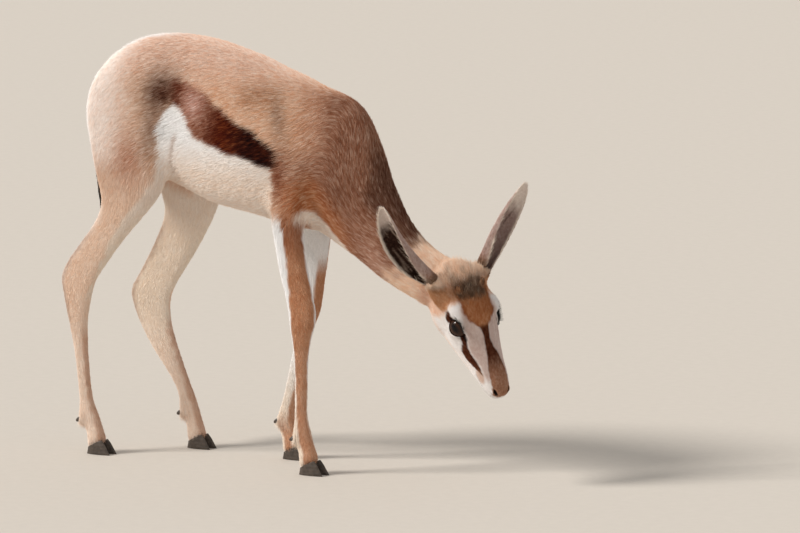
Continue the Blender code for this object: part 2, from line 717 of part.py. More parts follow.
def standOnOrigin():
    """Moves everything so that the origin is the middle of the foot of the whole."""
    items = [item for item in bpy.data.objects if item.type == "MESH" and not item.hide_render]
    corners = [vertex.co for item in items for vertex in item.data.vertices]
    low = [min(corner[axis] for corner in corners) for axis in range(3)]
    high = [max(corner[axis] for corner in corners) for axis in range(3)]
    shift = Matrix.Translation((-(low[0] + high[0]) / 2, -(low[1] + high[1]) / 2, -low[2]))
    for item in items:
        item.data.transform(shift)


def build():
    clearScene()
    flesh = fleshForm()
    cut(flesh, seamCutters())
    nodes = partNodes(flesh)
    faceDetails(nodes["head"])
    eyes(nodes["head"])
    tail(nodes["torso"])
    hooves()
    dewclaws()
    for side in (-1, 1):
        ear(side)
    standOnOrigin()


build()
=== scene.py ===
import math

import bmesh
import bpy
import numpy as np
from mathutils import Matrix, Vector
from mathutils.bvhtree import BVHTree


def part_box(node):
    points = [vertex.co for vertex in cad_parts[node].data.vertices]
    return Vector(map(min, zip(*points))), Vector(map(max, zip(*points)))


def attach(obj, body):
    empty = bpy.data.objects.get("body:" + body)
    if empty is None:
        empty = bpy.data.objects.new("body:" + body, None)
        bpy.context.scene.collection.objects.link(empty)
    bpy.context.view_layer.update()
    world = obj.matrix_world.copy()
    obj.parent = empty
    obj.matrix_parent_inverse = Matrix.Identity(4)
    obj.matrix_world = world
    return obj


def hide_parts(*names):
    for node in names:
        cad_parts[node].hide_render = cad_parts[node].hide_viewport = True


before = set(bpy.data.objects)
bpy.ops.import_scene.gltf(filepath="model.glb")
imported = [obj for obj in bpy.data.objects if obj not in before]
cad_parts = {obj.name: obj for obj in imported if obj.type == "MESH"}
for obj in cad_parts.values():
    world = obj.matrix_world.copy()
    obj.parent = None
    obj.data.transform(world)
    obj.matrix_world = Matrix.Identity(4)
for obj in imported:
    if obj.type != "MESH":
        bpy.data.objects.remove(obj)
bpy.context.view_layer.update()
print("frame loaded")

legNames = ["fore_leg_right", "fore_leg_left", "hind_leg_right", "hind_leg_left"]
fleshNames = ["torso", "neck", "head", *legNames, "tail"]
claws = [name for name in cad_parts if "claw" in name]


def colour(red, green, blue):
    # a screen colour from 0 to 255 as linear light
    share = np.array((red, green, blue)) / 255
    return np.where(share < 0.04045, share / 12.92, ((share + 0.055) / 1.055) ** 2.4)


def unit(rows):
    rows = np.asarray(rows, float)
    return rows / np.maximum(np.linalg.norm(rows, axis=-1, keepdims=True), 1e-12)


def flattened(rows, normals):
    # directions laid onto the surface
    return unit(rows - (rows * normals).sum(axis=1)[:, None] * normals)


def ease(value, low, high):
    # 0 below low, 1 above high, smooth between; low may be the greater
    t = np.clip((np.asarray(value, float) - low) / (high - low), 0, 1)
    return t * t * (3 - 2 * t)


def blob(*terms):
    # 1 in the middle of a soft spot, from a value, its middle and its radius along each way
    return np.exp(-sum(((value - middle) / radius) ** 2 for value, middle, radius in terms))


def mix(first, second, share):
    share = np.asarray(share)[..., None]
    return first * (1 - share) + second * share


def curve(values, stops):
    # a line through (value, result) stops
    return np.interp(values, *zip(*stops))


def lump(points, size, seed=0):
    # smooth random values from -1 to 1 that change over this size
    grid = np.asarray(points) / size + seed * 17.3
    cell = np.floor(grid).astype(np.int64)
    part = grid - cell
    part = part * part * (3 - 2 * part)
    total = 0.0
    for corner in np.ndindex(2, 2, 2):
        at = cell + corner
        mixed = (at[:, 0] * 73856093) ^ (at[:, 1] * 19349663) ^ (at[:, 2] * 83492791) ^ (seed * 2654435)
        mixed = (mixed ^ (mixed >> 13)) * 1274126177 & 0x7FFFFFFF
        weight = np.prod(np.where(corner, part, 1 - part), axis=1)
        total = total + weight * (mixed / 0x3FFFFFFF - 1)
    return total


# the head's own directions, from its two eyes
def middleOf(node):
    low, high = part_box(node)
    return (np.array(low) + np.array(high)) / 2


eyeRight, eyeLeft = middleOf("eye_right"), middleOf("eye_left")
headLeft = unit(eyeLeft - eyeRight)
headAlong = np.array((0.481, -0.059, -0.875))
headAlong = unit(headAlong - headAlong.dot(headLeft) * headLeft)
headOut = np.cross(headAlong, headLeft)
headOrigin = (eyeRight + eyeLeft) / 2 - headAlong * 0.002 - headOut * 0.008
midY = float(middleOf("torso")[1])


def inHead(points):
    away = np.asarray(points) - headOrigin
    return away @ headAlong, away @ headLeft, away @ headOut


def headWay(along, left, out):
    return headAlong * along + headLeft * left + headOut * out


def headPoint(along, left, out):
    return headOrigin + headWay(along, left, out)


def sideName(name, side):
    return name + ("_right" if side < 0 else "_left")


# meshes to and from arrays
def rowsOf(items, key, width=3, kind=np.float32):
    found = np.empty(len(items) * width, kind)
    items.foreach_get(key, found)
    return found.reshape(-1, width)


def pointsOf(data):
    return rowsOf(data.vertices, "co").astype(float)


def normalsOf(data):
    return rowsOf(data.vertex_normals, "vector").astype(float)


def edgesOf(data):
    return rowsOf(data.edges, "vertices", 2, np.int32)


def movePoints(data, points):
    data.vertices.foreach_set("co", np.asarray(points, np.float32).ravel())
    data.update()


def averaged(values, edges, rounds, hold=0.0):
    # each point's values drawn towards its neighbours', less where hold is high
    rows = np.array(values, float).reshape(len(values), -1)
    first, second = edges.T
    size = len(rows)
    count = np.bincount(edges.ravel(), minlength=size).astype(float)[:, None]
    step = 0.5 * (1 - np.full(size, hold, float))[:, None]
    for _ in range(rounds):
        total = np.empty_like(rows)
        for k, column in enumerate(rows.T):
            total[:, k] = np.bincount(first, column[second], size)
            total[:, k] += np.bincount(second, column[first], size)
        rows = rows + step * (total / count - rows)
    return rows.reshape(np.shape(values))


def linked(name, data):
    item = bpy.data.objects.new(name, data)
    bpy.context.scene.collection.objects.link(item)
    return item


def baked(item, name):
    # the object's evaluated shape as a plain mesh, in place of the object
    graph = bpy.context.evaluated_depsgraph_get()
    data = bpy.data.meshes.new_from_object(item.evaluated_get(graph))
    data.name = name
    bpy.data.objects.remove(item)
    return data


def meshFrom(work, name):
    data = bpy.data.meshes.new(name)
    work.to_mesh(data)
    work.free()
    return data


def builtMesh(name, points, faces):
    data = bpy.data.meshes.new(name)
    data.from_pydata([tuple(point) for point in points], [], faces)
    return data


def outward(data):
    # turns the faces of a closed mesh outwards
    work = bmesh.new()
    work.from_mesh(data)
    bmesh.ops.recalc_face_normals(work, faces=work.faces)
    work.to_mesh(data)
    work.free()
    return data


def finished(data, material):
    data.materials.clear()
    data.materials.append(material)


weldGap = 0.00002  # the CAD meshes are loose triangles


def weldedCopy(node, swell=0.0):
    # a CAD node's mesh with its triangles joined, swollen a little so that neighbours overlap
    work = bmesh.new()
    work.from_mesh(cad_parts[node].data)
    bmesh.ops.remove_doubles(work, verts=work.verts, dist=weldGap)
    work.normal_update()
    for vertex in work.verts:
        vertex.co += vertex.normal * swell
    return work


def joinedCopies(swells):
    whole = bmesh.new()
    for node, swell in swells.items():
        piece = meshFrom(weldedCopy(node, swell), "piece")
        whole.from_mesh(piece)
        bpy.data.meshes.remove(piece)
    return whole


# the lines that the body's pieces run along, sliced from the CAD nodes; a way and a number of slices
boneCuts = {"torso": ((1, 0, 0), 12), "neck": ((0.65, 0, -0.76), 8), "tail": ((0, 0, -1), 8)}
for name in legNames:
    boneCuts[name] = ((0, 0, -1), 16 if "fore" in name else 18)
headBone = ((-0.10, -0.006), (-0.03, -0.010), (0.05, -0.010), (0.12, -0.004))
sliceOverlap = 0.002
fewestPoints = 6


def boneLine(node, way, count):
    points = pointsOf(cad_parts[node].data)
    reach = points @ unit(way)
    ends = np.linspace(reach.min(), reach.max(), count + 1)
    line = []
    for low, high in zip(ends[:-1], ends[1:]):
        slab = points[(reach >= low - sliceOverlap) & (reach <= high + sliceOverlap)]
        if len(slab) >= fewestPoints:
            line.append((slab.min(axis=0) + slab.max(axis=0)) / 2)
    return np.array(line)


bones = {name: boneLine(name, *cut) for name, cut in boneCuts.items()}
bones["head"] = np.array([headPoint(a, 0, o) for a, o in headBone])


def nearestBone(points, names):
    # for each point: its nearest bone's index, the way along it, the bone's direction and the place on it
    best = np.full(len(points), np.inf)
    label = np.zeros(len(points), int)
    along = np.zeros(len(points))
    way = np.zeros((len(points), 3))
    foot = np.zeros((len(points), 3))
    for number, name in enumerate(names):
        start = 0.0
        for first, second in zip(bones[name][:-1], bones[name][1:]):
            run = second - first
            length = np.linalg.norm(run)
            t = np.clip((points - first) @ run / length**2, 0, 1)
            place = first + t[:, None] * run
            gap = np.linalg.norm(points - place, axis=1)
            closer = gap < best
            best[closer] = gap[closer]
            label[closer] = number
            along[closer] = (start + t * length)[closer]
            way[closer] = run / length
            foot[closer] = place[closer]
            start += length
    return label, along, way, foot


# skin: one closed surface over the flesh nodes, with a mound under each dewclaw
skinSizes = {
    "swell": 0.0005,
    "grain": 0.0037,
    "headSmooth": 3,
    "mound": 0.0078,
    "moundIn": 0.0045,
    # where the faces are finer: from and to along the head, then how far out on each side and up or down
    "fineHead": (-0.082, 0.14, 0.07, 0.09),
    "fineMuzzle": (0.070, 0.14, 0.05, 0.06),
    "fineEye": 0.024,
}


def skinSurface(sizes):
    swells = dict.fromkeys(fleshNames, sizes["swell"])
    whole = joinedCopies({**swells, "eye_right": -sizes["swell"], "eye_left": -sizes["swell"]})
    for place in (middleOf(name) for name in claws if "dew" in name):
        leg = bones[min(legNames, key=lambda leg: np.abs(bones[leg] - place).sum(axis=1).min())]
        core = leg[np.argmin(np.linalg.norm(leg - place, axis=1))]
        at = place + unit((core - place) * (1, 1, 0)) * sizes["moundIn"]
        ball = Matrix.Translation(Vector(at))
        bmesh.ops.create_icosphere(whole, subdivisions=2, radius=sizes["mound"], matrix=ball)
    data = meshFrom(whole, "skinForm")
    item = linked("skinForm", data)
    remesh = item.modifiers.new("remesh", "REMESH")
    remesh.mode = "VOXEL"
    remesh.voxel_size = sizes["grain"]
    solid = baked(item, "skin")
    bpy.data.meshes.remove(data)
    return refined(solid, sizes)


def refined(data, sizes):
    # finer faces on the head, and finer again about the eyes, the nose and the mouth
    work = bmesh.new()
    work.from_mesh(data)
    for zone in ("fineHead", "fineMuzzle"):
        low, high, out, up = sizes[zone]
        work.verts.index_update()
        points = np.array([vertex.co for vertex in work.verts])
        a, l, o = inHead(points)
        near = (a > low) & (a < high) & (np.abs(l) < out) & (np.abs(o) < up)
        if zone == "fineMuzzle":
            for eye in (eyeRight, eyeLeft):
                near |= np.linalg.norm(points - eye, axis=1) < sizes["fineEye"]
        chosen = [edge for edge in work.edges if all(near[vertex.index] for vertex in edge.verts)]
        bmesh.ops.subdivide_edges(work, edges=chosen, cuts=1, use_grid_fill=True)
    bmesh.ops.triangulate(work, faces=[face for face in work.faces if len(face.verts) > 4])
    work.to_mesh(data)
    work.free()
    data.shade_smooth()
    return data


skin = skinSurface(skinSizes)
print("skin surface", len(skin.vertices), "points", len(skin.polygons), "faces")

skinEdges = edgesOf(skin)
skinPoints = averaged(pointsOf(skin), skinEdges, skinSizes["headSmooth"])

# the face is shaped in the head's own directions: along, left and out
eyeSizes = {
    "radius": 0.0165,
    "sunk": 0.0012,
    "halfLength": 0.0215,
    "halfHeight": 0.0107,
    "upper": 0.84,
    "lower": 1.06,
    "forward": 0.0016,
    "lid": 0.0013,
    "gaze": (0.10, 0.86, 0.48),
    "slant": (0.92, -0.1003, 0.136),
    "socket": 0.0205,
}


def eyeFrame(side):
    gaze, slant = (headWay(a, side * l, o) for a, l, o in (eyeSizes["gaze"], eyeSizes["slant"]))
    gaze = unit(gaze)
    slant = unit(slant - slant.dot(gaze) * gaze)
    rise = np.cross(gaze, slant) * -side
    place = (eyeRight if side < 0 else eyeLeft) - gaze * eyeSizes["sunk"]
    return place, gaze, slant, rise


def almond(points, side):
    # how far outside the eye's opening each point is, negative inside, and how far round in front it lies
    place, gaze, slant, rise = eyeFrame(side)
    away = points - place
    radius = eyeSizes["radius"]
    x, y, z = away @ slant, away @ rise, away @ gaze
    x = np.arctan2(x, z) * radius - eyeSizes["forward"]
    y = np.arctan2(y, z) * radius
    share = np.abs(x) / eyeSizes["halfLength"]
    top = eyeSizes["halfHeight"] * (1 - share**2.0) * np.where(y > 0, eyeSizes["upper"], eyeSizes["lower"])
    reach = np.linalg.norm(away, axis=1)
    return np.abs(y) - top + 1.5 * np.maximum(reach - eyeSizes["socket"], 0), z, x, y


# the lids, by how far outside the opening each step lies: rim, drop behind it, fold and the socket's edge
lidSizes = {
    "ball": -0.0024,
    "rim": (-0.0006, 0.0008),
    "drop": 0.0007,
    "dropAt": (0.0030, 0.0050),
    "foldAt": 0.0062,
    "foldWide": 0.0012,
    "upperFold": 0.0009,
    "lowerFold": 0.0004,
    "edge": (0.0036, 0.0115),
}


def shapeEyes(points):
    for side in (-1, 1):
        away = points - eyeFrame(side)[0]
        far = np.linalg.norm(away, axis=1)
        outside, ahead, x, y = almond(points, side)
        inside = eyeSizes["radius"] + lidSizes["ball"]
        rim = eyeSizes["radius"] + eyeSizes["lid"]
        goal = inside + (rim - inside) * ease(outside, *lidSizes["rim"])
        goal = goal - lidSizes["drop"] * ease(outside, *lidSizes["dropAt"])
        fold = np.where(y > 0, lidSizes["upperFold"], lidSizes["lowerFold"])
        goal = goal - fold * blob((outside, lidSizes["foldAt"], lidSizes["foldWide"]))
        share = (1 - ease(outside, *lidSizes["edge"])) * ease(ahead, 0.0, 0.004) * (far < 0.05)
        points = points + unit(away) * ((goal - far) * share)[:, None]
    return points


def dent(points, normals, middle, ways, radii, depth):
    # pushes in an oval patch about a point of the head
    away = points - middle
    q = sum(((away @ way) / radius) ** 2 for way, radius in zip(ways, radii))
    return points - normals * (depth * np.exp(-(q**1.3)))[:, None]


muzzle = {
    "mouthLevel": -0.0125,
    "mouthStart": 0.078,
    "mouthTurn": (0.09, 0.10),
    "lipGroove": 0.0013,
    "lip": 0.0006,
    "chin": 0.0011,
    "nostril": (0.1135, 0.0112, 0.0035),
    "nostrilDepth": 0.0042,
    "nostrilRim": 0.0034,
}


def nostril(side):
    # its middle, and its directions: along the slit, across it and out
    along, left, out = muzzle["nostril"]
    long = unit(headWay(-0.55, side * 0.55, 0.62))
    ahead = unit(headWay(0.72, side * 0.52, 0.30))
    across = unit(np.cross(ahead, long))
    return headPoint(along, side * left, out), (np.cross(across, ahead), across, ahead)


def mouthLine(a, o, wide):
    # 1 on the line between the lips, which turns up behind
    start, slope = muzzle["mouthTurn"]
    return blob((o - slope * np.maximum(start - a, 0), muzzle["mouthLevel"], wide))


def shapeMuzzle(points, normals):
    a, l, o = inHead(points)
    level = muzzle["mouthLevel"]
    front = ease(a, muzzle["mouthStart"] - 0.006, muzzle["mouthStart"] + 0.004)
    points = points - normals * (muzzle["lipGroove"] * front * mouthLine(a, o, 0.0011))[:, None]
    points = points - normals * (muzzle["chin"] * ease(o, level - 0.001, level - 0.006) * front)[:, None]
    points = points + normals * (muzzle["lip"] * blob((o, level + 0.0035, 0.0022)) * front)[:, None]
    for side in (-1, 1):
        middle, ways = nostril(side)
        points = dent(points, normals, middle, ways, (0.0050, 0.0019, 0.0080), muzzle["nostrilDepth"])
        rim = middle + ways[1] * muzzle["nostrilRim"] * np.sign(ways[1].dot(headLeft) * side)
        points = dent(points, normals, rim, ways, (0.0050, 0.0018, 0.0080), -0.0009)
    # the groove between the nostrils
    ways = (headOut, headLeft, headAlong)
    return dent(points, normals, headPoint(0.121, 0, 0.001), ways, (0.0075, 0.0013, 0.010), 0.0009)


# hollows of the face, and swellings where the depth is negative: place, radii, depth
hollows = {
    "before the eye": ((0.026, 0.024, 0.006), (0.014, 0.010, 0.007), 0.0016),
    "above the stripe": ((0.018, 0.021, 0.0225), (0.016, 0.006, 0.006), 0.0008),
    "brow": ((-0.012, 0.031, 0.029), (0.013, 0.008, 0.006), -0.0012),
    "cheek bone": ((0.012, 0.034, -0.010), (0.030, 0.012, 0.0045), -0.0018),
    "under the cheek bone": ((-0.004, 0.036, -0.024), (0.020, 0.012, 0.011), 0.0011),
    "cheek": ((0.052, 0.022, -0.020), (0.020, 0.012, 0.008), 0.0014),
    "jaw": ((0.030, 0.030, -0.030), (0.007, 0.014, 0.010), 0.0006),
}


def shapeHead(points, normals):
    ways = (headAlong, headLeft, headOut)
    for side in (-1, 1):
        for (a, l, o), radii, depth in hollows.values():
            points = dent(points, normals, headPoint(a, side * l, o), ways, radii, depth)
    return points


def skinNormals(points):
    movePoints(skin, points)
    return normalsOf(skin)


skinPoints = shapeEyes(skinPoints)
skinPoints = shapeHead(skinPoints, skinNormals(skinPoints))
skinPoints = shapeMuzzle(skinPoints, skinNormals(skinPoints))
formNormals = averaged(skinNormals(skinPoints), skinEdges, 2)
print("face shaped")


# what belongs to which part of the body
def partOf(points):
    margin = 0.03
    gaps = np.full((len(points), len(fleshNames)), 9.0)
    for number, name in enumerate(fleshNames):
        work = weldedCopy(name)
        tree = BVHTree.FromBMesh(work)
        work.free()
        low, high = (np.array(side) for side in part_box(name))
        near = np.all((points > low - margin) & (points < high + margin), axis=1)
        for i in np.nonzero(near)[0]:
            gaps[i, number] = tree.find_nearest(points[i])[3]
    return np.argmin(gaps, axis=1)


skinPart = partOf(skinPoints)
share = {}
for number, name in enumerate(fleshNames):
    share[name] = averaged((skinPart == number).astype(float), skinEdges, 12)
soft = {name: averaged(share[name], skinEdges, 40) for name in share}
headShare, neckShare, torsoShare, tailShare = soft["head"], soft["neck"], soft["torso"], soft["tail"]
legShare = sum(soft[name] for name in legNames)
print("parts found")


def coatLie(points, normals):
    # back along the trunk and down its sides, down the legs, and from the muzzle to the poll on the head
    lie = np.zeros_like(points)
    down = np.array((0, 0, -1.0))
    for name in fleshNames:
        _, _, way, foot = nearestBone(points, [name])
        if name in ("torso", "neck"):
            flow = -way + down * (0.58 if name == "torso" else 0.12)
        elif name == "head":
            flow = -headAlong + 0.25 * unit(points - foot)
        else:
            flow = way
        lie += unit(flow) * share[name][:, None]
    rear = ease(points[:, 0], -0.24, -0.34) * torsoShare
    lie = mix(unit(lie), down + np.array((-0.35, 0, 0)), rear)
    hold = np.maximum(0.96 * share["head"], 0.80 * ease(points[:, 2], 0.30, 0.18))
    return flattened(averaged(lie, skinEdges, 170, hold), normals)


skinLie = coatLie(skinPoints, formNormals)

# colours of the coat, as a screen shows them, one name for each hair colour, and a few for painted highlight
# and painted shade
hairTones = {
    "back": (238, 210, 192), "flank": (234, 200, 174), "rump": (254, 243, 236), "thigh": (231, 202, 181),
    "ham": (211, 169, 146), "shoulder": (212, 171, 146), "neck": (170, 126, 103), "nape": (116, 82, 66),
    "throat": (198, 136, 94), "gullet": (200, 162, 142), "golden": (178, 126, 88), "elbow": (150, 90, 62),
    "band": (108, 43, 15), "bandFront": (62, 18, 5), "bandSheen": (156, 92, 66), "bandHighlight": (220, 182, 169),
    "hip": (90, 44, 23), "white": (251, 250, 250), "cream": (246, 232, 220), "shade": (247, 233, 218),
    "leg": (243, 218, 198), "shin": (205, 154, 120), "greyTanShade": (186, 156, 136), "face": (248, 244, 242),
    "patch": (192, 135, 95), "patchRim": (158, 98, 62), "stripe": (96, 52, 32), "nose": (176, 134, 110),
    "bridgeShade": (210, 184, 173), "crown": (246, 219, 196), "forelock": (102, 86, 73), "temple": (204, 154, 116),
    "jaw": (240, 208, 186), "wisp": (246, 222, 198), "dark": (34, 20, 15), "brush": (48, 34, 27),
}
hair = {name: colour(*tone) for name, tone in hairTones.items()}


def paint(tint, *coats):
    # lays tones over a tint, one after another, each by its share
    for tone, part in coats:
        tint = mix(tint, hair[tone] if isinstance(tone, str) else tone, part)
    return tint


# soft spots of the trunk: middle and radius along x, then up
spots = {
    "ham": (-0.252, 0.024, 0.465, 0.034),
    "golden": (-0.028, 0.030, 0.575, 0.018),
    "hip": (-0.200, 0.032, 0.571, 0.032),
    "crease": (-0.216, 0.016, 0.510, 0.045),
    "fold": (0.014, 0.012, 0.545, 0.034),
    "elbow": (0.016, 0.020, 0.455, 0.040),
    "sheen": (-0.140, 0.018, 0.556, 0.022),
    "pom": (-0.198, 0.016, 0.525, 0.022),
}

# edges of the marks: height at x, but the flank's fold and the thigh's front give x at a height
edges = {
    "flankFold": ((0.430, -0.180), (0.4458, -0.187), (0.458, -0.1927), (0.4765, -0.188), (0.5013, -0.1786),
                  (0.520, -0.172)),
    "brisket": ((0.040, 0.392), (0.047, 0.397), (0.0533, 0.400), (0.0625, 0.4026), (0.0783, 0.3853),
                (0.0892, 0.3709), (0.1055, 0.3507), (0.120, 0.332), (0.140, 0.300)),
    "bandTop": ((-0.20, 0.598), (-0.16, 0.588), (-0.115, 0.570), (-0.077, 0.544), (-0.031, 0.522),
                (0.012, 0.492)),
    "bandLow": ((-0.20, 0.572), (-0.164, 0.546), (-0.141, 0.511), (-0.106, 0.494), (-0.06, 0.483),
                (0.0, 0.467)),
    "belly": ((-0.214, 0.505), (-0.198, 0.538), (-0.180, 0.556), (-0.164, 0.546), (-0.141, 0.510),
              (-0.106, 0.494), (-0.06, 0.483), (0.0, 0.467), (0.012, 0.40)),
    "thighFront": ((0.24, -0.342), (0.2556, -0.334), (0.297, -0.311), (0.338, -0.2885), (0.3775, -0.258),
                   (0.41, -0.228), (0.43, -0.213), (0.487, -0.199), (0.52, -0.205)),
    "foreLegBack": ((0.030, 0.064), (0.060, 0.055), (0.083, 0.0505), (0.180, 0.0445), (0.267, 0.0388),
                    (0.319, 0.0370), (0.339, 0.0340), (0.365, 0.0290), (0.388, 0.0230), (0.405, 0.0125),
                    (0.430, -0.002)),
}


def spot(name, x, z):
    middleX, radiusX, middleZ, radiusZ = spots[name]
    return blob((x, middleX, radiusX), (z, middleZ, radiusZ))


def bodyColour(points, normals):
    x, z = points[:, 0], points[:, 2]
    side = np.abs(points[:, 1] - midY)
    rough = 0.003 * lump(points, 0.012, 1) + 0.002 * lump(points, 0.005, 2)
    level, brow = z + rough, curve(x, edges["brisket"])
    tint = paint(
        mix(hair["flank"], hair["back"], ease(z, 0.56, 0.63)),
        ("thigh", ease(x, -0.19, -0.24) * ease(z, 0.62, 0.54)),
        ("rump", ease(x, -0.235, -0.315) * ease(z, 0.40, 0.50)),
        ("shoulder", ease(x, 0.010, 0.085) * ease(z, 0.63, 0.57)),
        ("neck", 0.8 * ease(x, 0.02, 0.06) * ease(z, 0.51, 0.46)),
        ("neck", ease(x, 0.06, 0.115)),
        ("golden", 0.55 * spot("golden", x, z)),
        ("ham", 0.9 * spot("ham", x, z)),
        ("hip", 0.95 * spot("hip", x, z)),
        # painted shade in the crease between the belly and the thigh
        ("hip", 0.45 * spot("crease", x, z)),
        # painted shade along a slanting fold above the elbow
        ("hip", 0.40 * spot("fold", x + 0.25 * (z - 0.53), z)),
        ("elbow", 0.9 * spot("elbow", x, z)),
        ("throat", 0.8 * ease(x, 0.005, 0.045) * ease(z, brow + 0.078, brow + 0.028)),
    )
    # flank band, dark at the hip and again from the ribs to the elbow, lighter between them as a painted
    # highlight
    top, low = curve(x, edges["bandTop"]), curve(x, edges["bandLow"])
    band = ease(level, top + 0.005, top - 0.005) * ease(level, low - 0.003, low + 0.003)
    band = band * ease(x + rough, -0.195, -0.170) * ease(x + rough, 0.018, 0.002)
    dark = np.maximum(ease(x + 0.3 * (0.52 - z), -0.150, -0.085), 0.9 * ease(x, -0.156, -0.178))
    tone = mix(hair["bandSheen"], mix(hair["band"], hair["bandFront"], ease(x, -0.080, -0.035)), dark)
    # white belly, groin and axilla, with a tongue that rises before the thigh
    edge = curve(x, edges["belly"])
    white = ease(level, edge + 0.003, edge - 0.003) * ease(x + rough, -0.213, -0.205)
    white = white * ease(x + rough, 0.007, 0.001)
    under = ease(normals[:, 2] + 6 * rough, -0.55, -0.80)
    white = np.maximum(white, under * ease(x, 0.045, 0.025))
    # the brisket is white to the foot of the neck, between the fore legs
    white = np.maximum(white, ease(level, brow + 0.003, brow - 0.003) * ease(x, 0.040, 0.047))
    # painted shade: a thin grey line in the white along the flank's fold
    groove = blob((x, curve(z, edges["flankFold"]), 0.0022)) * ease(z, 0.440, 0.450) * ease(z, 0.512, 0.500)
    # the rump patch round the tail, and the crest of white hair above it
    back = ease(-normals[:, 0] + 6 * rough, 0.62, 0.80) * ease(x, -0.30, -0.33) * ease(z, 0.36, 0.42)
    crest = ease(side + rough, 0.022, 0.008) * ease(x, -0.17, -0.26)
    return paint(
        tint,
        (tone, band * (0.75 + 0.25 * dark)),
        # painted highlight: a pale pinkish glint on the rounded flank before the thigh
        ("bandHighlight", 0.95 * spot("sheen", x, z)),
        # the white turns cream low on the belly: painted shade on the underside
        (mix(hair["cream"], hair["white"], ease(z, 0.43, 0.51)), white),
        ("greyTanShade", 0.75 * groove),
        ("white", np.maximum(0.85 * back, 0.8 * crest)),
    )


def neckColour(points, normals):
    x, z = points[:, 0], points[:, 2]
    rough = 0.003 * lump(points, 0.010, 3)
    foot = nearestBone(points, ["neck"])[3]
    high = (points - foot) @ np.array((0.76, 0, 0.65))
    edge = curve(x, edges["brisket"])
    away = inHead(points)[0]
    start = -0.118 - 0.046 * ease(high, -0.01, 0.02) + 0.018 * ease(high, 0.012, 0.046)
    pale = ease(z + rough, edge + 0.003, edge - 0.003) * ease(x, 0.150, 0.120)
    # the underside of the throat takes cream as a painted lit rim
    rim = ease(-normals[:, 2], 0.80, 0.97) * ease(x, 0.10, 0.14)
    return paint(
        hair["neck"],
        ("throat", 0.7 * ease(z, edge + 0.080, edge + 0.020) * ease(x, 0.14, 0.09)),
        ("gullet", 0.8 * ease(high, 0.004, -0.024) * ease(x, 0.125, 0.165)),
        ("nape", 0.8 * ease(high + rough, 0.020, 0.042) * ease(x, 0.07, 0.11)),
        ("crown", ease(away + 5 * rough, start - 0.020, start + 0.018)),
        ("cream", np.maximum(pale, 0.5 * rim)),
    )


def hindLegColour(points, normals, side):
    x, y, z = points.T
    inner = -normals[:, 1] * side
    rough = lump(points, 0.010, 4)
    lead = x - curve(z, edges["thighFront"])
    if side > 0:
        lead = lead - 0.062 * ease(z, 0.50, 0.36)
    front = ease(lead + 0.003 * rough, -0.002, 0.003) * ease(z, 0.225, 0.26)
    turned = 0.10 + (0.40 * ease(z, 0.26, 0.34) if side < 0 else 0)
    inside = ease(inner + 0.2 * rough, turned, turned + 0.30) * ease(z, 0.10, 0.22)
    # painted shade: grey-tan on the rear faces of the hind legs
    behind = ease(-normals[:, 0] + 0.1 * rough, 0.20, 0.55) * ease(z, 0.37, 0.33) * ease(z, 0.17, 0.22)
    return paint(
        hair["leg"],
        ("thigh", ease(z, 0.38, 0.46)),
        ("rump", 0.6 * ease(-normals[:, 0], 0.1, 0.6) * ease(z, 0.20, 0.28) * ease(z, 0.42, 0.36)),
        ("rump", ease(z, 0.44, 0.50) * ease(x, -0.26, -0.30)),
        ("ham", 0.9 * spot("ham", x, z)),
        ("cream", 0.45 * ease(z, 0.24, 0.16)),
        (mix(hair["shade"], hair["cream"], ease(z, 0.30, 0.42)), np.maximum(front, inside)),
        ("greyTanShade", 0.6 * behind),
        ("shin", 0.55 * ease(normals[:, 0] + 0.2 * rough, 0.35, 0.75) * ease(z, 0.21, 0.17)),
    )


def foreLegColour(points, normals, side):
    x, y, z = points.T
    inner = -normals[:, 1] * side
    rough = lump(points, 0.010, 4)
    rear = ease(x - curve(z, edges["foreLegBack"]) + 0.002 * rough, 0.0015, -0.0015)
    inside = ease(inner + 0.2 * rough, -0.05, 0.25)
    if side > 0:
        # the far leg is cream but for a brown strip that starts low on its front
        front = ease(normals[:, 0] + 0.1 * rough, 0.42, 0.66) * ease(z, 0.325, 0.285)
        outer = ease(-inner + 0.1 * rough, 0.2, 0.5)
        rear = ease(-normals[:, 0], 0.2, 0.5)
        inside = (1 - front) * (1 - outer)
    pale = mix(hair["shade"], hair["white"], ease(z, 0.05, 0.20))
    return paint(
        hair["shoulder"],
        ("shin", ease(z, 0.44, 0.36)),
        ("elbow", 0.55 * ease(z, 0.31, 0.37) * ease(z, 0.45, 0.41)),
        ("leg", 0.15 * ease(z, 0.26, 0.14)),
        (pale, np.maximum(rear, inside * ease(z, 0.03, 0.08))),
    )


# marks of the face, at places along the head: the eye stripe's middle and half width, the half width of the
# forehead patch and nose stripe, the nose's middle, and where the white of the cheek starts at each height
faceMarks = {
    "stripeMiddle": ((0.014, 0.0135), (0.020, 0.0120), (0.026, 0.0090), (0.036, -0.0010), (0.047, -0.0036),
                     (0.060, -0.0007), (0.072, 0.0029), (0.085, 0.0040)),
    "stripeHalf": ((0.014, 0.0045), (0.020, 0.0050), (0.026, 0.0054), (0.036, 0.0083), (0.047, 0.0088),
                   (0.060, 0.0070), (0.072, 0.0036), (0.080, 0.0012), (0.084, 0.0)),
    "patchHalf": ((-0.060, 0.0262), (-0.025, 0.0262), (-0.010, 0.0256), (0.000, 0.0228), (0.004, 0.0190),
                  (0.010, 0.0145), (0.015, 0.0085), (0.020, 0.0066), (0.035, 0.0048), (0.049, 0.0071),
                  (0.065, 0.0116), (0.082, 0.0146), (0.120, 0.0155)),
    "noseMiddle": ((0.0, 0.0), (0.020, -0.0010), (0.035, -0.0012), (0.049, -0.0010), (0.065, 0.0004),
                   (0.10, 0.0)),
    "cheekStart": ((-0.040, -0.040), (-0.031, -0.037), (-0.022, -0.030), (-0.017, -0.026), (0.004, -0.026),
                   (0.02, -0.030)),
}

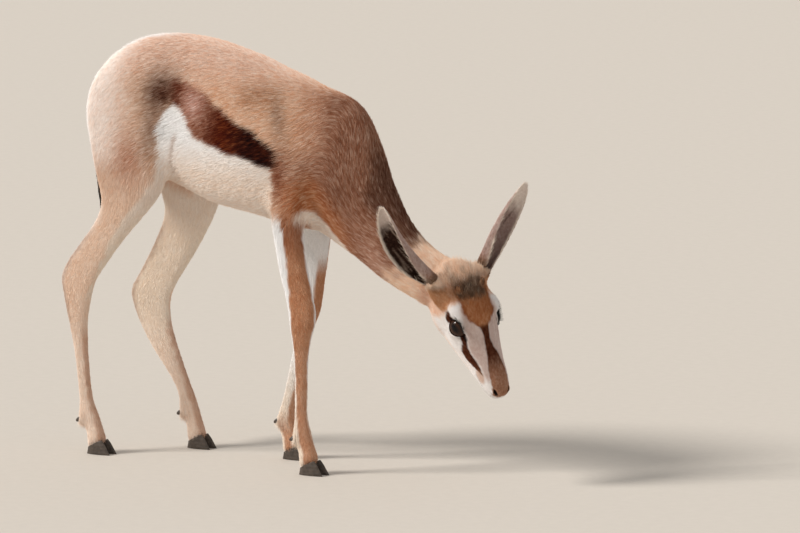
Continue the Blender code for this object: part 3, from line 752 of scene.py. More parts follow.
# ovals of the face: middle and radius along the head, then out of it
faceOvals = {
    "temple": (-0.047, 0.020, 0.010, 0.0165),
    "eyeCorner": (-0.0150, 0.0098, 0.0130, 0.0095),
    "earRoot": (-0.062, 0.0075, 0.022, 0.0035),
    "mouthCorner": (0.082, 0.012, -0.003, 0.008),
    "duct": (0.0235, 0.0040, 0.0130, 0.0032),
}


def oval(name, a, o):
    # 1 on the oval's edge, less inside, more outside
    middleA, radiusA, middleO, radiusO = faceOvals[name]
    return ((a - middleA) / radiusA) ** 2 + ((o - middleO) / radiusO) ** 2


def headColour(points, normals):
    a, l, o = inHead(points)
    rough = 0.0010 * lump(points, 0.006, 5) + 0.0007 * lump(points, 0.0025, 6)
    wide = np.abs(l - curve(a, faceMarks["noseMiddle"])) + rough
    flank = np.abs(l)
    start = curve(o, faceMarks["cheekStart"])
    blotch = 0.25 * np.clip(lump(points, 0.016, 15), 0, 1) * ease(o, 0, -0.02)
    over = ease(o, 0.010, 0.018) * ease(a, -0.066, -0.050)
    # white face, cream jaw that turns creamier again low down as painted shade under the cheek, tan crown,
    # and the temple between the eye and the ear
    tint = paint(
        hair["jaw"],
        ("face", ease(a + 3 * rough, start - 0.006, start + 0.007)),
        ("jaw", 0.40 * ease(o, -0.024, -0.046) + blotch),
        ("crown", ease(a + 2 * rough, -0.056, -0.068) * ease(o, -0.026, -0.008)),
        ("temple", 0.8 * ease(a + 2 * rough, -0.033, -0.039) * over),
        ("temple", ease(oval("temple", a + rough, o + rough), 1.30, 0.65) * ease(flank, 0.029, 0.034)),
        ("stripe", ease(oval("eyeCorner", a, o) + 150 * rough, 1.35, 0.9) * ease(flank, 0.028, 0.034)),
    )
    # forehead patch that narrows into the stripe down the nose
    half = curve(a, faceMarks["patchHalf"])
    blur = 0.0009 + 0.0014 * ease(a, 0.012, -0.004)
    mark = ease(wide + rough * ease(a, 0.012, -0.004), half + blur, half - blur)
    mark = mark * ease(o, -0.006, 0.000) * ease(a + 3 * rough, -0.060, -0.046)
    noseEdge = ease(wide, half - 0.006, half) * ease(a, 0.040, 0.050) * ease(a, 0.095, 0.075)
    tone = paint(
        hair["patch"],
        ("patchRim", 0.8 * ease(wide, half - 0.009, half) * ease(a, -0.05, -0.02)),
        ("stripe", ease(a, 0.012, 0.019)),
        ("nose", ease(a, 0.056, 0.092)),
        ("stripe", 0.45 * noseEdge),
    )
    patchy = lump(points, 0.009, 12)
    lock = ease(wide, 0.028, 0.018) * ease(a + 5 * rough, -0.022, -0.036)
    lock = lock * ease(a + 4 * rough, -0.070, -0.054)
    high = ease(o, 0.010, 0.018)
    rear = ease(a, -0.050, -0.062) * ease(a, -0.110, -0.085) * high
    # stripe from the eye to the corner of the mouth
    middle, half = curve(a, faceMarks["stripeMiddle"]), curve(a, faceMarks["stripeHalf"])
    stripe = ease(np.abs(o - middle) + rough, half + 0.0009, half - 0.0009)
    stripe = stripe * ease(a, 0.012, 0.016) * (half > 0)
    # painted shade: the white between the eye stripe and the nose stripe is greyed, where the front of the
    # face is turned from the light
    bridgeShade = ease(o - middle, half - 0.002, half + 0.006) * ease(flank, 0.034, 0.026)
    bridgeShade = bridgeShade * ease(a, -0.030, -0.010) * ease(a, 0.105, 0.085)
    mouth = mouthLine(a, o, 0.0009) * ease(a, muzzle["mouthStart"] - 0.004, muzzle["mouthStart"] + 0.002)
    tint = paint(
        tint,
        (tone, mark),
        ("forelock", (0.80 + 0.20 * patchy) * lock * high),
        ("forelock", 0.55 * np.maximum(patchy, 0) * rear),
        # darker at the ear's front root: dark hair, with painted shade in the fold where the ear meets the
        # head
        ("forelock", 0.3 * ease(oval("earRoot", a, o) + 100 * rough, 1.3, 0.5) * ease(flank, 0.026, 0.032)),
        ("bridgeShade", 0.75 * bridgeShade * (1 - mark)),
        ("stripe", stripe * ease(flank, 0.014, 0.018)),
        ("temple", 0.55 * ease(oval("mouthCorner", a, o) + 60 * rough, 1.5, 0.3)),
        ("dark", 0.85 * mouth),
    )
    # nostrils and lids
    for side in (-1, 1):
        middle, ways = nostril(side)
        away = points - middle
        hole = sum(((away @ way) / radius) ** 2 for way, radius in zip(ways, (0.0062, 0.0026, 0.009)))
        outside, ahead, x, y = almond(points, side)
        thick = np.where(y > 0, 0.0034, 0.0028)
        rim = ease(outside, thick, thick - 0.0012) * ease(ahead, 0, 0.003)
        near = np.linalg.norm(points - eyeFrame(side)[0], axis=1) < 0.035
        tint = paint(tint, ("dark", ease(hole, 1.3, 0.6)), ("dark", rim * near))
    return paint(tint, ("dark", 0.8 * ease(oval("duct", a, o), 1.3, 0.7) * ease(flank, 0.016, 0.021)))


def coatColour(points, normals):
    tones = {"torso": bodyColour(points, normals), "neck": neckColour(points, normals),
             "head": headColour(points, normals)}
    for name in legNames:
        legColour = hindLegColour if name.startswith("hind") else foreLegColour
        tones[name] = legColour(points, normals, -1 if name.endswith("right") else 1)
    tones["tail"] = mix(hair["white"], hair["brush"], ease(points[:, 2], 0.50, 0.44))
    return sum(tones[name] * share[name][:, None] for name in tones) / sum(share.values())[:, None]


# coat depth, and the length, width, rise and number of tufts
coatSizes = {
    "bodyDepth": 0.0025, "legDepth": 0.0010, "headDepth": 0.0008,
    "bodyLength": 0.0105, "legLength": 0.0062, "headLength": 0.0042,
    "bodyWidth": 0.0012, "legWidth": 0.0009, "headWidth": 0.0008,
    "bodyCount": 430000, "legCount": 480000, "headCount": 1150000,
}
quickShare = 1.0


def byPart(name):
    # a size that goes smoothly from body to legs and head
    body = coatSizes["body" + name]
    return (body * (torsoShare + neckShare + tailShare) + coatSizes["leg" + name] * legShare
            + coatSizes["head" + name] * headShare)


a, l, o = inHead(skinPoints)
x, y, z = skinPoints.T
upperLeg = legShare * ease(z, 0.22, 0.42)
depth = byPart("Depth") + upperLeg * 0.0012
length = byPart("Length") + upperLeg * 0.003
width = byPart("Width") + upperLeg * 0.0002
count = byPart("Count")
rise = 0.11 + 0.03 * headShare + np.zeros(len(skinPoints))

crown = ease(a, -0.028, -0.045) * ease(a, -0.155, -0.085) * ease(o, 0.010, 0.022) * (headShare + neckShare)
crown = crown * ease(np.abs(l), 0.038, 0.028)
brow = ease(a, 0.01, -0.01) * ease(o, 0.012, 0.02) * ease(np.abs(l), 0.026, 0.018) * headShare
cheek = ease(a, -0.02, -0.06) * ease(o, 0.0, -0.02) * headShare
crest = ease(np.abs(y - midY), 0.025, 0.006) * ease(x, -0.16, -0.27) * torsoShare
cuff = ease(z, 0.040, 0.022) * legShare
# where the hair is longer or stands up: the place, how much longer, how much steeper
standing = [(spot("pom", x, z) * torsoShare, 0.006, 0.35), (crown, 0.0065, 0.26), (brow, 0.0020, 0.10),
            (cheek, 0.003, 0), (crest, 0.006, 0.10), (cuff, 0.003, 0)]
for name in claws:
    if "dew" in name:
        away = np.linalg.norm(skinPoints - middleOf(name), axis=1)
        standing.append((ease(away, 0.020, 0.010), 0.005, 0))
for place, longer, steeper in standing:
    length += longer * place
    rise += steeper * place
count *= 1 - 0.45 * crown
# no tufts on the lids and in the nostrils, and short ones round the eyes
bare = np.zeros(len(skinPoints))
for side in (-1, 1):
    outside, ahead, _, _ = almond(skinPoints, side)
    near = np.linalg.norm(skinPoints - eyeFrame(side)[0], axis=1) < 0.030
    bare = np.maximum(bare, near * ease(outside, 0.0034, 0.0020) * (ahead > 0))
    length *= 1 - 0.55 * near * ease(outside, 0.010, 0.003)
    away = np.linalg.norm(skinPoints - nostril(side)[0], axis=1)
    bare = np.maximum(bare, ease(away, 0.0062, 0.0048))
length *= 1 - 0.45 * ease(a, 0.085, 0.110)
# a tuft shows behind its root, so it takes the colour of the place that it covers
skinColour = coatColour(skinPoints + skinLie * (0.55 * length)[:, None], formNormals)
print("coat coloured")
count = count * (1 - bare)
depth = averaged(depth * (1 - bare * headShare), skinEdges, 6) * ease(z, 0.010, 0.05)
skinPoints = skinPoints - formNormals * depth[:, None]
movePoints(skin, skinPoints)


# what the tufts are led by, in the order that addGuides takes it
guideNames = ("lie", "tuftLength", "tuftWidth", "rise", "contrast", "tuftCount")


def addAttribute(data, name, values, kind="FLOAT"):
    made = data.attributes.new(name, kind, "POINT")
    rows = np.asarray(values, float)
    if kind == "FLOAT_COLOR":
        rows = np.concatenate([np.clip(rows, 0, 1), np.ones((len(rows), 1))], axis=1)
    elif rows.ndim == 0:
        rows = np.full(len(data.vertices), values)
    key = {"FLOAT": "value", "FLOAT_VECTOR": "vector", "FLOAT_COLOR": "color"}[kind]
    made.data.foreach_set(key, rows.astype(np.float32).ravel())


def addGuides(data, tint, *guides):
    addAttribute(data, "coatColour", tint, "FLOAT_COLOR")
    for name, values in zip(guideNames, guides):
        addAttribute(data, name, values, "FLOAT_VECTOR" if name == "lie" else "FLOAT")


def dropGuides(data, *others):
    for name in (*guideNames, *others):
        data.attributes.remove(data.attributes[name])


# materials
def feed(tree, socket, value):
    if isinstance(value, bpy.types.NodeSocket):
        tree.links.new(value, socket)
    else:
        socket.default_value = value


def put(tree, kind, inputs=None, **values):
    # a new node; each input gets a number or another node's output
    made = tree.nodes.new(kind)
    for key, value in values.items():
        setattr(made, key, value)
    for key, value in (inputs or {}).items():
        feed(tree, made.inputs[key], value)
    return made


def shaderBase(name, roughness, gloss=0.25):
    made = bpy.data.materials.new(name)
    made.use_nodes = True
    shader = made.node_tree.nodes["Principled BSDF"]
    shader.inputs["Roughness"].default_value = roughness
    shader.inputs["Specular IOR Level"].default_value = gloss
    return made, made.node_tree, shader


def objectPlace(tree):
    return put(tree, "ShaderNodeTexCoord").outputs["Object"]


def noiseNode(tree, scale, detail=3.0):
    inputs = {"Vector": objectPlace(tree), "Scale": scale, "Detail": detail}
    return put(tree, "ShaderNodeTexNoise", inputs).outputs["Fac"]


def attributeNode(tree, name, output="Fac"):
    return put(tree, "ShaderNodeAttribute", attribute_name=name).outputs[output]


def ranged(tree, value, low, high, toLow, toHigh):
    inputs = {"Value": value, "From Min": low, "From Max": high, "To Min": toLow, "To Max": toHigh}
    return put(tree, "ShaderNodeMapRange", inputs).outputs["Result"]


def maths(tree, operation, *terms):
    return put(tree, "ShaderNodeMath", dict(enumerate(terms)), operation=operation).outputs[0]


def scaled(tree, vector, factor):
    made = put(tree, "ShaderNodeVectorMath", {0: vector, "Scale": factor}, operation="SCALE")
    return made.outputs["Vector"]


def tinted(tree, shader, value, depth):
    # base colour: the coat's own, deepened by a power, which leaves white nearly as it is, times a brightness
    deep = put(tree, "ShaderNodeGamma", {"Color": attributeNode(tree, "coatColour", "Color"), "Gamma": depth})
    feed(tree, shader.inputs["Base Color"], scaled(tree, deep.outputs["Color"], value))


def bumped(tree, shader, height, strength, distance):
    bump = put(tree, "ShaderNodeBump", {"Strength": strength, "Distance": distance, "Height": height})
    feed(tree, shader.inputs["Normal"], bump.outputs["Normal"])


def skinMaterial():
    made, tree, shader = shaderBase("short_coat", 0.85, 0.1)
    fine = ranged(tree, noiseNode(tree, 420, 4), 0.3, 0.7, 0.88, 1.0)
    deep = ranged(tree, noiseNode(tree, 260, 3), 0.3, 0.7, 0.95, 1.30)
    tinted(tree, shader, fine, deep)
    bumped(tree, shader, noiseNode(tree, 700, 2), 0.4, 0.0006)
    return made


def tuftMaterial():
    made, tree, shader = shaderBase("hair_tufts", 0.75, 0.1)
    tip, own = attributeNode(tree, "tipShare"), attributeNode(tree, "shade")
    rootToTip = ranged(tree, tip, 0.0, 0.9, 0.90, 1.03)
    each = ranged(tree, own, 0.0, 1.0, 0.60, 1.58)
    wide = ranged(tree, noiseNode(tree, 55, 2), 0.35, 0.65, 0.94, 1.08)
    tinted(tree, shader, rootToTip, maths(tree, "MULTIPLY", each, wide))
    # standing hair on the crown is pale at its tips
    some = ranged(tree, own, 0.35, 0.0, 0.05, 0.85)
    onTip = maths(tree, "MULTIPLY", tip, attributeNode(tree, "wisp"))
    pale = maths(tree, "MULTIPLY", onTip, some)
    base = shader.inputs["Base Color"].links[0].from_socket
    inputs = {"Factor": pale, "A": base, "B": (*hair["wisp"], 1)}
    blend = put(tree, "ShaderNodeMix", inputs, data_type="RGBA")
    feed(tree, shader.inputs["Base Color"], blend.outputs["Result"])
    return made


skinFinish = skinMaterial()
tuftFinish = tuftMaterial()

# tufts: one slim flat cone, scattered by a node tree over the skin along the lie of the coat
bladeShape = {"thick": 0.30, "sink": 0.12, "ridge": 0.06}
clumpSizes = {"scale": 265, "low": 0.36, "high": 0.64, "share": 0.74, "random": 0.35, "plain": 0.42}


def bladeObject(name):
    sink, ridge = bladeShape["sink"], bladeShape["ridge"]
    points = [(0, 0.5, -sink), (0, -0.5, -sink), (ridge, 0, bladeShape["thick"]), (1, 0, 0)]
    data = outward(builtMesh(name, points, [(0, 1, 2), (0, 2, 3), (1, 3, 2), (0, 3, 1)]))
    addAttribute(data, "tipShare", [point[0] for point in points])
    return linked(name, data)


def tuftTree():
    tree = bpy.data.node_groups.new("tufts on skin", "GeometryNodeTree")
    sockets = {"Skin": "Geometry", "Blade": "Object", "Piece": "Int", "Length spread": "Float",
               "Scatter": "Float", "Seed": "Int", "Finish": "Material"}
    for name, kind in sockets.items():
        tree.interface.new_socket(name=name, in_out="INPUT", socket_type="NodeSocket" + kind)
    tree.interface.new_socket(name="Tufts", in_out="OUTPUT", socket_type="NodeSocketGeometry")
    given = tree.nodes.new("NodeGroupInput").outputs

    def named(name, kind="FLOAT"):
        made = put(tree, "GeometryNodeInputNamedAttribute", {"Name": name}, data_type=kind)
        return made.outputs["Attribute"]

    def chance(low, high, offset, kind="FLOAT"):
        first = 0 if kind == "FLOAT_VECTOR" else 2
        inputs = {first: low, first + 1: high, "Seed": maths(tree, "ADD", given["Seed"], offset)}
        return put(tree, "FunctionNodeRandomValue", inputs, data_type=kind).outputs[first // 2]

    def added(first, second):
        return put(tree, "ShaderNodeVectorMath", {0: first, 1: second}, operation="ADD").outputs["Vector"]

    inputs = {2: named("piece", "INT"), 3: given["Piece"]}
    chosen = put(tree, "FunctionNodeCompare", inputs, data_type="INT", operation="EQUAL").outputs["Result"]
    inputs = {"Mesh": given["Skin"], "Selection": chosen, "Density": named("tuftCount"),
              "Seed": given["Seed"]}
    roots = put(tree, "GeometryNodeDistributePointsOnFaces", inputs, distribute_method="RANDOM").outputs
    # direction: the lie, raised off the skin, with some scatter
    raised = scaled(tree, roots["Normal"], named("rise"))
    loose = scaled(tree, chance((-1, -1, -1), (1, 1, 1), 3, "FLOAT_VECTOR"), given["Scatter"])
    way = added(added(named("lie", "FLOAT_VECTOR"), raised), loose)
    inputs = {"Primary Axis": way, "Secondary Axis": roots["Normal"]}
    turn = put(tree, "FunctionNodeAxesToRotation", inputs, primary_axis="X", secondary_axis="Z")
    uneven = maths(tree, "MULTIPLY_ADD", chance(-1.0, 1.0, 5), given["Length spread"], 1.0)
    broad = maths(tree, "MULTIPLY", named("tuftWidth"), chance(0.75, 1.3, 7))
    inputs = {"X": maths(tree, "MULTIPLY", named("tuftLength"), uneven), "Y": broad, "Z": broad}
    size = put(tree, "ShaderNodeCombineXYZ", inputs).outputs["Vector"]
    # shade: light and dark in clumps, with some chance for each tuft, and plain where contrast is low
    clump = put(tree, "ShaderNodeTexNoise", {"Scale": clumpSizes["scale"], "Detail": 1.5}).outputs["Fac"]
    clump = ranged(tree, clump, clumpSizes["low"], clumpSizes["high"], 0.0, 1.0)
    own = chance(0.0, clumpSizes["random"], 9)
    both = maths(tree, "MULTIPLY_ADD", clump, clumpSizes["share"], own)
    inputs = {"Factor": named("contrast"), "A": clumpSizes["plain"], "B": both}
    shade = put(tree, "ShaderNodeMix", inputs, data_type="FLOAT").outputs["Result"]
    inputs = {"Geometry": roots["Points"], "Name": "shade", "Value": shade}
    shaded = put(tree, "GeometryNodeStoreNamedAttribute", inputs, data_type="FLOAT", domain="POINT")
    blade = put(tree, "GeometryNodeObjectInfo", {"Object": given["Blade"], "As Instance": True})
    inputs = {"Points": shaded.outputs["Geometry"], "Instance": blade.outputs["Geometry"],
              "Rotation": turn.outputs["Rotation"], "Scale": size}
    tufts = put(tree, "GeometryNodeInstanceOnPoints", inputs).outputs["Instances"]
    held = put(tree, "GeometryNodeRealizeInstances", {"Geometry": tufts}).outputs["Geometry"]
    for name in (*guideNames, "piece"):
        held = put(tree, "GeometryNodeRemoveAttribute", {"Geometry": held, "Name": name}).outputs["Geometry"]
    finish = put(tree, "GeometryNodeSetMaterial", {"Geometry": held, "Material": given["Finish"]})
    put(tree, "NodeGroupOutput", {"Tufts": finish.outputs["Geometry"]})
    return tree


tufting = tuftTree()
blade = bladeObject("blade")


def tuftsOn(base, name, seed, chart, piece=0, scatter=0.12, spread=0.30):
    # the tufts of one piece of the coat as a plain mesh
    item = linked(name, base)
    modifier = item.modifiers.new("tufts", "NODES")
    modifier.node_group = tufting
    inputs = {"Blade": blade, "Piece": piece, "Length spread": spread, "Scatter": scatter, "Seed": seed,
              "Finish": tuftFinish}
    for socket in tufting.interface.items_tree:
        if socket.in_out == "INPUT" and socket.name in inputs:
            modifier[socket.identifier] = inputs[socket.name]
    made = linked(name, baked(item, name))
    addChart(made.data, chart)
    print(name, len(made.data.polygons), "triangles")
    return made


# unwrap of the skin's own shape: way along each part by the angle round it, each part on a strip of its own
patchSize = 0.003
bladeChart = np.array([(0, 1.0), (0, 0.0), (0.06, 0.5), (1, 0.5)])


def chartOf(points, names):
    label, along, way, foot = nearestBone(points, names)
    away = points - foot
    up = np.where(np.abs(way[:, 2:3]) > 0.9, (1.0, 0, 0), (0, 0, 1.0))
    first = unit(np.cross(way, up))
    second = np.cross(way, first)
    angle = np.arctan2((away * second).sum(axis=1), (away * first).sum(axis=1)) / (2 * math.pi) + 0.5
    total = np.array([np.linalg.norm(np.diff(bones[name], axis=0), axis=1).sum() for name in names])
    u = 0.02 + 0.96 * np.clip(along / total[label], 0, 1)
    v = (label + 0.03 + 0.94 * angle) / len(names)
    return np.stack([u, v], axis=1)


def addChart(data, names):
    corners = len(bladeChart)
    roots = chartOf(pointsOf(data)[::corners], names)
    corner = rowsOf(data.loops, "vertex_index", 1, np.int32)[:, 0]
    place = roots[corner // corners] + (bladeChart[corner % corners] - 0.5) * patchSize
    layer = data.uv_layers.new(name="OFBake")
    layer.data.foreach_set("uv", place.astype(np.float32).ravel())


contrast = 1 - 0.62 * legShare - 0.5 * headShare * (1 - crown)
addGuides(skin, skinColour, skinLie, length, width, rise, contrast, count * quickShare)
addAttribute(skin, "wisp", crown)

# pieces of the coat: torso in four, neck, head in two, fore legs, each hind leg, tail
pieceNames = ["coat_" + name for name in (
    "rear_right", "fore_right", "rear_left", "fore_left", "neck", "crown", "face", "fore_legs",
    "hind_leg_right", "hind_leg_left", "tail")]
firstPiece = np.array([0, 4, 5, 7, 7, 8, 9, 10])  # for each of the flesh nodes


def coatPieces(data):
    middles = rowsOf(data.polygons, "center").astype(float)
    start = rowsOf(data.polygons, "loop_start", 1, np.int32)[:, 0]
    vertex = rowsOf(data.loops, "vertex_index", 1, np.int32)[:, 0]
    part = skinPart[vertex[start]]
    quarter = 2 * (middles[:, 1] > midY) + (middles[:, 0] > -0.16)
    ahead = inHead(middles)[0] > 0
    return firstPiece[part] + np.where(part == 0, quarter, 0) + np.where(part == 2, ahead, 0)


made = skin.attributes.new("piece", "INT", "FACE")
made.data.foreach_set("value", coatPieces(skin).astype(np.int32))

coat = []
for number, name in enumerate(pieceNames):
    scatter, spread = (0.34, 0.50) if name == "coat_crown" else (0.12, 0.30)
    coat.append(tuftsOn(skin, name, 11 + number, fleshNames, number, scatter, spread))
dropGuides(skin, "wisp", "piece")
finished(skin, skinFinish)
skinItem = linked("skin", skin)
print("coat made")


# eyes
def eyeMaterial():
    made, tree, shader = shaderBase("eye_wet", 0.13, 0.20)
    ramp = put(tree, "ShaderNodeValToRGB", {"Fac": attributeNode(tree, "eyeSpot")})
    stops = ((0.30, (0.004, 0.003, 0.003, 1)), (0.75, (0.042, 0.017, 0.008, 1)))
    for element, (position, tone) in zip(ramp.color_ramp.elements, stops):
        element.position = position
        element.color = tone
    feed(tree, shader.inputs["Base Color"], ramp.outputs["Color"])
    return made


def ringFaces(start, rings, sides):
    # quads between rings of points that follow each other
    faces = []
    for low in range(start, start + (rings - 1) * sides, sides):
        for k in range(sides):
            n = (k + 1) % sides
            faces.append((low + k, low + n, low + sides + n, low + sides + k))
    return faces


def eyeBall(side, finish):
    place, gaze, slant, rise = eyeFrame(side)
    radius = eyeSizes["radius"]
    rings, sides, bulge = 27, 40, 0.03
    points = [place + gaze * radius * (1 + bulge)]
    pupil = [0.0]
    for i in range(1, rings + 1):
        tilt = math.pi * i / (rings + 1)
        reach = radius * (1 + bulge * math.exp(-((tilt / 0.55) ** 2)))
        for k in range(sides):
            turn = 2 * math.pi * k / sides
            x, y = math.sin(tilt) * math.cos(turn), math.sin(tilt) * math.sin(turn)
            points.append(place + (gaze * math.cos(tilt) + slant * x + rise * y) * reach)
            pupil.append(min(1.0, math.hypot(x, 1.9 * y)))
    points.append(place - gaze * radius)
    pupil.append(1.0)
    faces = ringFaces(1, rings, sides)
    last = 1 + (rings - 1) * sides
    for k in range(sides):
        n = (k + 1) % sides
        faces += [(0, 1 + k, 1 + n), (last + n, last + k, len(points) - 1)]
    name = sideName("eyeball", side)
    data = outward(builtMesh(name, points, faces))
    data.shade_smooth()
    data.materials.append(finish)
    addAttribute(data, "eyeSpot", pupil)
    return linked(name, data)


eyeFinish = eyeMaterial()
eyes = [eyeBall(side, eyeFinish) for side in (-1, 1)]

# ears: the CAD ear made finer, with its own short coat and long pale hairs inside
earTones = {"back": (196, 172, 163), "tip": (232, 219, 209), "deep": (60, 39, 30), "streak": (188, 168, 152),
            "wall": (162, 140, 133), "fringe": (244, 232, 218)}
earHair = {name: colour(*tone) for name, tone in earTones.items()}
earSizes = {"fine": 2, "sharp": 50, "outerLength": 0.0055, "innerLength": 0.013, "outerCount": 420000,
            "innerCount": 160000}
# for each side: the root in the head's directions, and the way that the cup opens
earPlaces = {
    -1: ((-0.065, -0.039, 0.010), (-0.25, -0.92, 0.08)),
    1: ((-0.065, 0.0345, 0.012), (0.80, 0.10, 0.46)),
}


def earShape(side):
    work = weldedCopy(sideName("ear", side))
    sharp = work.edges.layers.float.get("crease_edge") or work.edges.layers.float.new("crease_edge")
    for edge in work.edges:
        if len(edge.link_faces) == 2 and edge.calc_face_angle() > math.radians(earSizes["sharp"]):
            edge[sharp] = 1.0
    item = linked("earForm", meshFrom(work, "earForm"))
    smooth = item.modifiers.new("fine", "SUBSURF")
    smooth.levels = smooth.render_levels = earSizes["fine"]
    fine = baked(item, sideName("ear_skin", side))
    fine.shade_smooth()
    return fine


def earFrame(side):
    place, mouth = earPlaces[side]
    root = headPoint(*place)
    points = pointsOf(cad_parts[sideName("ear", side)].data)
    far = points[np.argmax(np.linalg.norm(points - root, axis=1))]
    way = unit(far - root)
    mouth = np.array(mouth)
    mouth = unit(mouth - mouth.dot(way) * way)
    return root, way, mouth, np.cross(way, mouth), np.linalg.norm(far - root)


def cupInside(points, normals, s, m, c, side):
    # 1 on the inner wall, which faces the cup's middle line; that line lies towards its mouth
    root, way, mouth, across, reach = earFrame(side)
    slabs = 24
    middle = np.zeros((len(points), 3))
    for k in range(slabs):
        slab = np.abs(s - k / (slabs - 1)) < 0.04
        if slab.any():
            towards, aside = ((part[slab].max() + part[slab].min()) / 2 for part in (m, c))
            line = mouth * (towards + 0.004) + across * aside
            middle[slab] = root + way * (s[slab] * reach)[:, None] + line
    return ease(((middle - points) * normals).sum(axis=1), -0.0005, 0.0015)


def earCoat(side, data):
    root, way, mouth, across, reach = earFrame(side)
    points, normals = pointsOf(data), normalsOf(data)
    away = points - root
    s, m, c = away @ way / reach, away @ mouth, away @ across
    inner = cupInside(points, normals, s, m, c, side)
    near = edgesOf(data)
    border = averaged(inner, near, 5)
    border = averaged(border * (1 - border) * 4, near, 2)
    wider = averaged(inner, near, 34)
    fringe = np.clip(4 * wider * (1 - wider), 0, 1)
    rough = lump(points, 0.008, 7)
    outerTint = paint(
        earHair["back"],
        (earHair["tip"], ease(s + 0.05 * rough, 0.72, 0.98)),
        ("elbow", 0.55 * ease(s + 0.04 * rough, 0.30, 0.06)),
        ("temple", ease(s, 0.20, 0.05)),
        # dark at the ear's base: dark hair, with painted shade in the fold where the ear meets the head
        ("forelock", 0.75 * ease(s + 0.02 * rough, 0.19, 0.09)),
    )
    if side < 0:
        # dark along the middle of the near ear, with paler hair lying over it
        streak = ease(lump(np.stack([c, m, s * 0.012], axis=1), 0.0024, 8), 0.1, 0.7)
        innerTint = paint(
            earHair["deep"],
            (earHair["streak"], 0.55 * streak),
            (mix(earHair["tip"], earHair["wall"], 0.4), ease(s + 0.05 * rough, 0.72, 0.90)),
            (earHair["tip"], 0.85 * ease(fringe + 0.10 * rough, 0.45, 0.80)),
        )
    else:
        wave = lump(np.stack([s * 0.05, c * 0, m * 0], axis=1), 0.012, 9)
        bend = (c - 0.35 * m + 0.006 * wave) / 0.007
        vein = blob((bend, np.round(bend), 0.10))
        innerTint = paint(
            earHair["wall"],
            (earHair["deep"], 0.75 * vein * ease(s, 0.45, 0.60) * ease(s, 0.92, 0.85)),
            (earHair["deep"], 0.25 * ease(s, 0.25, 0.10)),
            (earHair["tip"], 0.9 * ease(s + 0.05 * rough, 0.62, 0.84)),
        )
    rim = np.clip(1.2 * border, 0, 1) * ease(s, 0.08, 0.22)
    tint = paint(outerTint, (innerTint, inner), (earHair["fringe"], rim))
    lie = way + 0.5 * (across * np.sign(-c)[:, None]) * (border * inner)[:, None]
    longer = earSizes["outerLength"] + (earSizes["innerLength"] - earSizes["outerLength"]) * inner * border
    number = earSizes["outerCount"] * (1 - inner) + earSizes["innerCount"] * inner * (0.12 + 0.88 * border)
    movePoints(data, points - normals * 0.0003)
    addGuides(data, tint, flattened(lie, normals), longer + 0.003 * border, 0.0007 + 0.0002 * (1 - inner),
              0.16 + 0.30 * border, 0.7, number * quickShare)


ears, earTufts = [], []
earBones = [sideName("ear", side) for side in (-1, 1)]
for side, name in zip((-1, 1), earBones):
    root, way, _, _, reach = earFrame(side)
    bones[name] = np.array([root, root + way * reach])
for side in (-1, 1):
    data = earShape(side)
    earCoat(side, data)
    earTufts.append(tuftsOn(data, sideName("coat_ear", side), 31 + side, earBones, scatter=0.11))
    dropGuides(data)
    finished(data, skinFinish)
    ears.append(linked(sideName("ear_skin", side), data))

# short hair that climbs the horn buds and leaves their tips bare
budSizes = {"length": 0.0075, "width": 0.0009, "count": 900000, "rise": 0.16, "bareFrom": 0.72}


def budCoat(sizes):
    work = joinedCopies({"horn_left": 0, "horn_right": 0})
    bmesh.ops.subdivide_edges(work, edges=work.edges[:], cuts=2, use_grid_fill=True)
    bmesh.ops.triangulate(work, faces=work.faces[:])
    data = meshFrom(work, "buds")
    points, normals = pointsOf(data), normalsOf(data)
    lie, height = np.zeros_like(points), np.zeros(len(points))
    for side in (-1, 1):
        own = inHead(points)[1] * side > 0
        middle = points[own].mean(axis=0)
        far = points[own][np.argmax(np.linalg.norm(points[own] - headOrigin, axis=1))]
        lie[own] = unit(far - middle)
        along = (points[own] - middle) @ unit(far - middle)
        height[own] = (along - along.min()) / np.ptp(along)
    covered = ease(height, sizes["bareFrom"], sizes["bareFrom"] - 0.12)
    tint = mix(hair["forelock"], hair["patch"], 0.5 + 0.5 * lump(points, 0.004, 14))
    addGuides(data, tint, flattened(lie, normals), sizes["length"], sizes["width"], sizes["rise"], 0.8,
              sizes["count"] * covered)
    item = tuftsOn(data, "coat_buds", 51, ["head"], scatter=0.20)
    bpy.data.meshes.remove(data)
    return item


coat.append(budCoat(budSizes))

# lashes, single curved hairs in a row along each upper lid
lashSizes = {"number": 26, "length": 0.0108, "root": 0.00058, "steps": 4, "from": -0.70, "span": 1.15}


def hairMesh(name, hairs, finish, sides=3):
    points, faces = [], []
    for path, radius in hairs:
        base, steps = len(points), len(path) - 1
        for i, place in enumerate(path[:-1]):
            ahead = unit(path[i + 1] - place)
            first = unit(np.cross(ahead, (0.3, 0.5, 0.8)))
            second = np.cross(ahead, first)
            thick = radius * (1 - 0.75 * i / steps)
            for k in range(sides):
                turn = 2 * math.pi * k / sides
                points.append(place + (first * math.cos(turn) + second * math.sin(turn)) * thick)
        points.append(path[-1])
        faces += ringFaces(base, steps, sides)
        last = base + (steps - 1) * sides
        faces += [(last + k, last + (k + 1) % sides, len(points) - 1) for k in range(sides)]
        faces.append(tuple(base + k for k in range(sides))[::-1])
    data = builtMesh(name, points, faces)
    data.shade_smooth()
    data.materials.append(finish)
    return linked(name, data)


def darkHair():
    made, tree, shader = shaderBase("dark_hair", 0.45)
    feed(tree, shader.inputs["Base Color"], ranged(tree, noiseNode(tree, 900, 1), 0.3, 0.7, 0.006, 0.020))
    return made


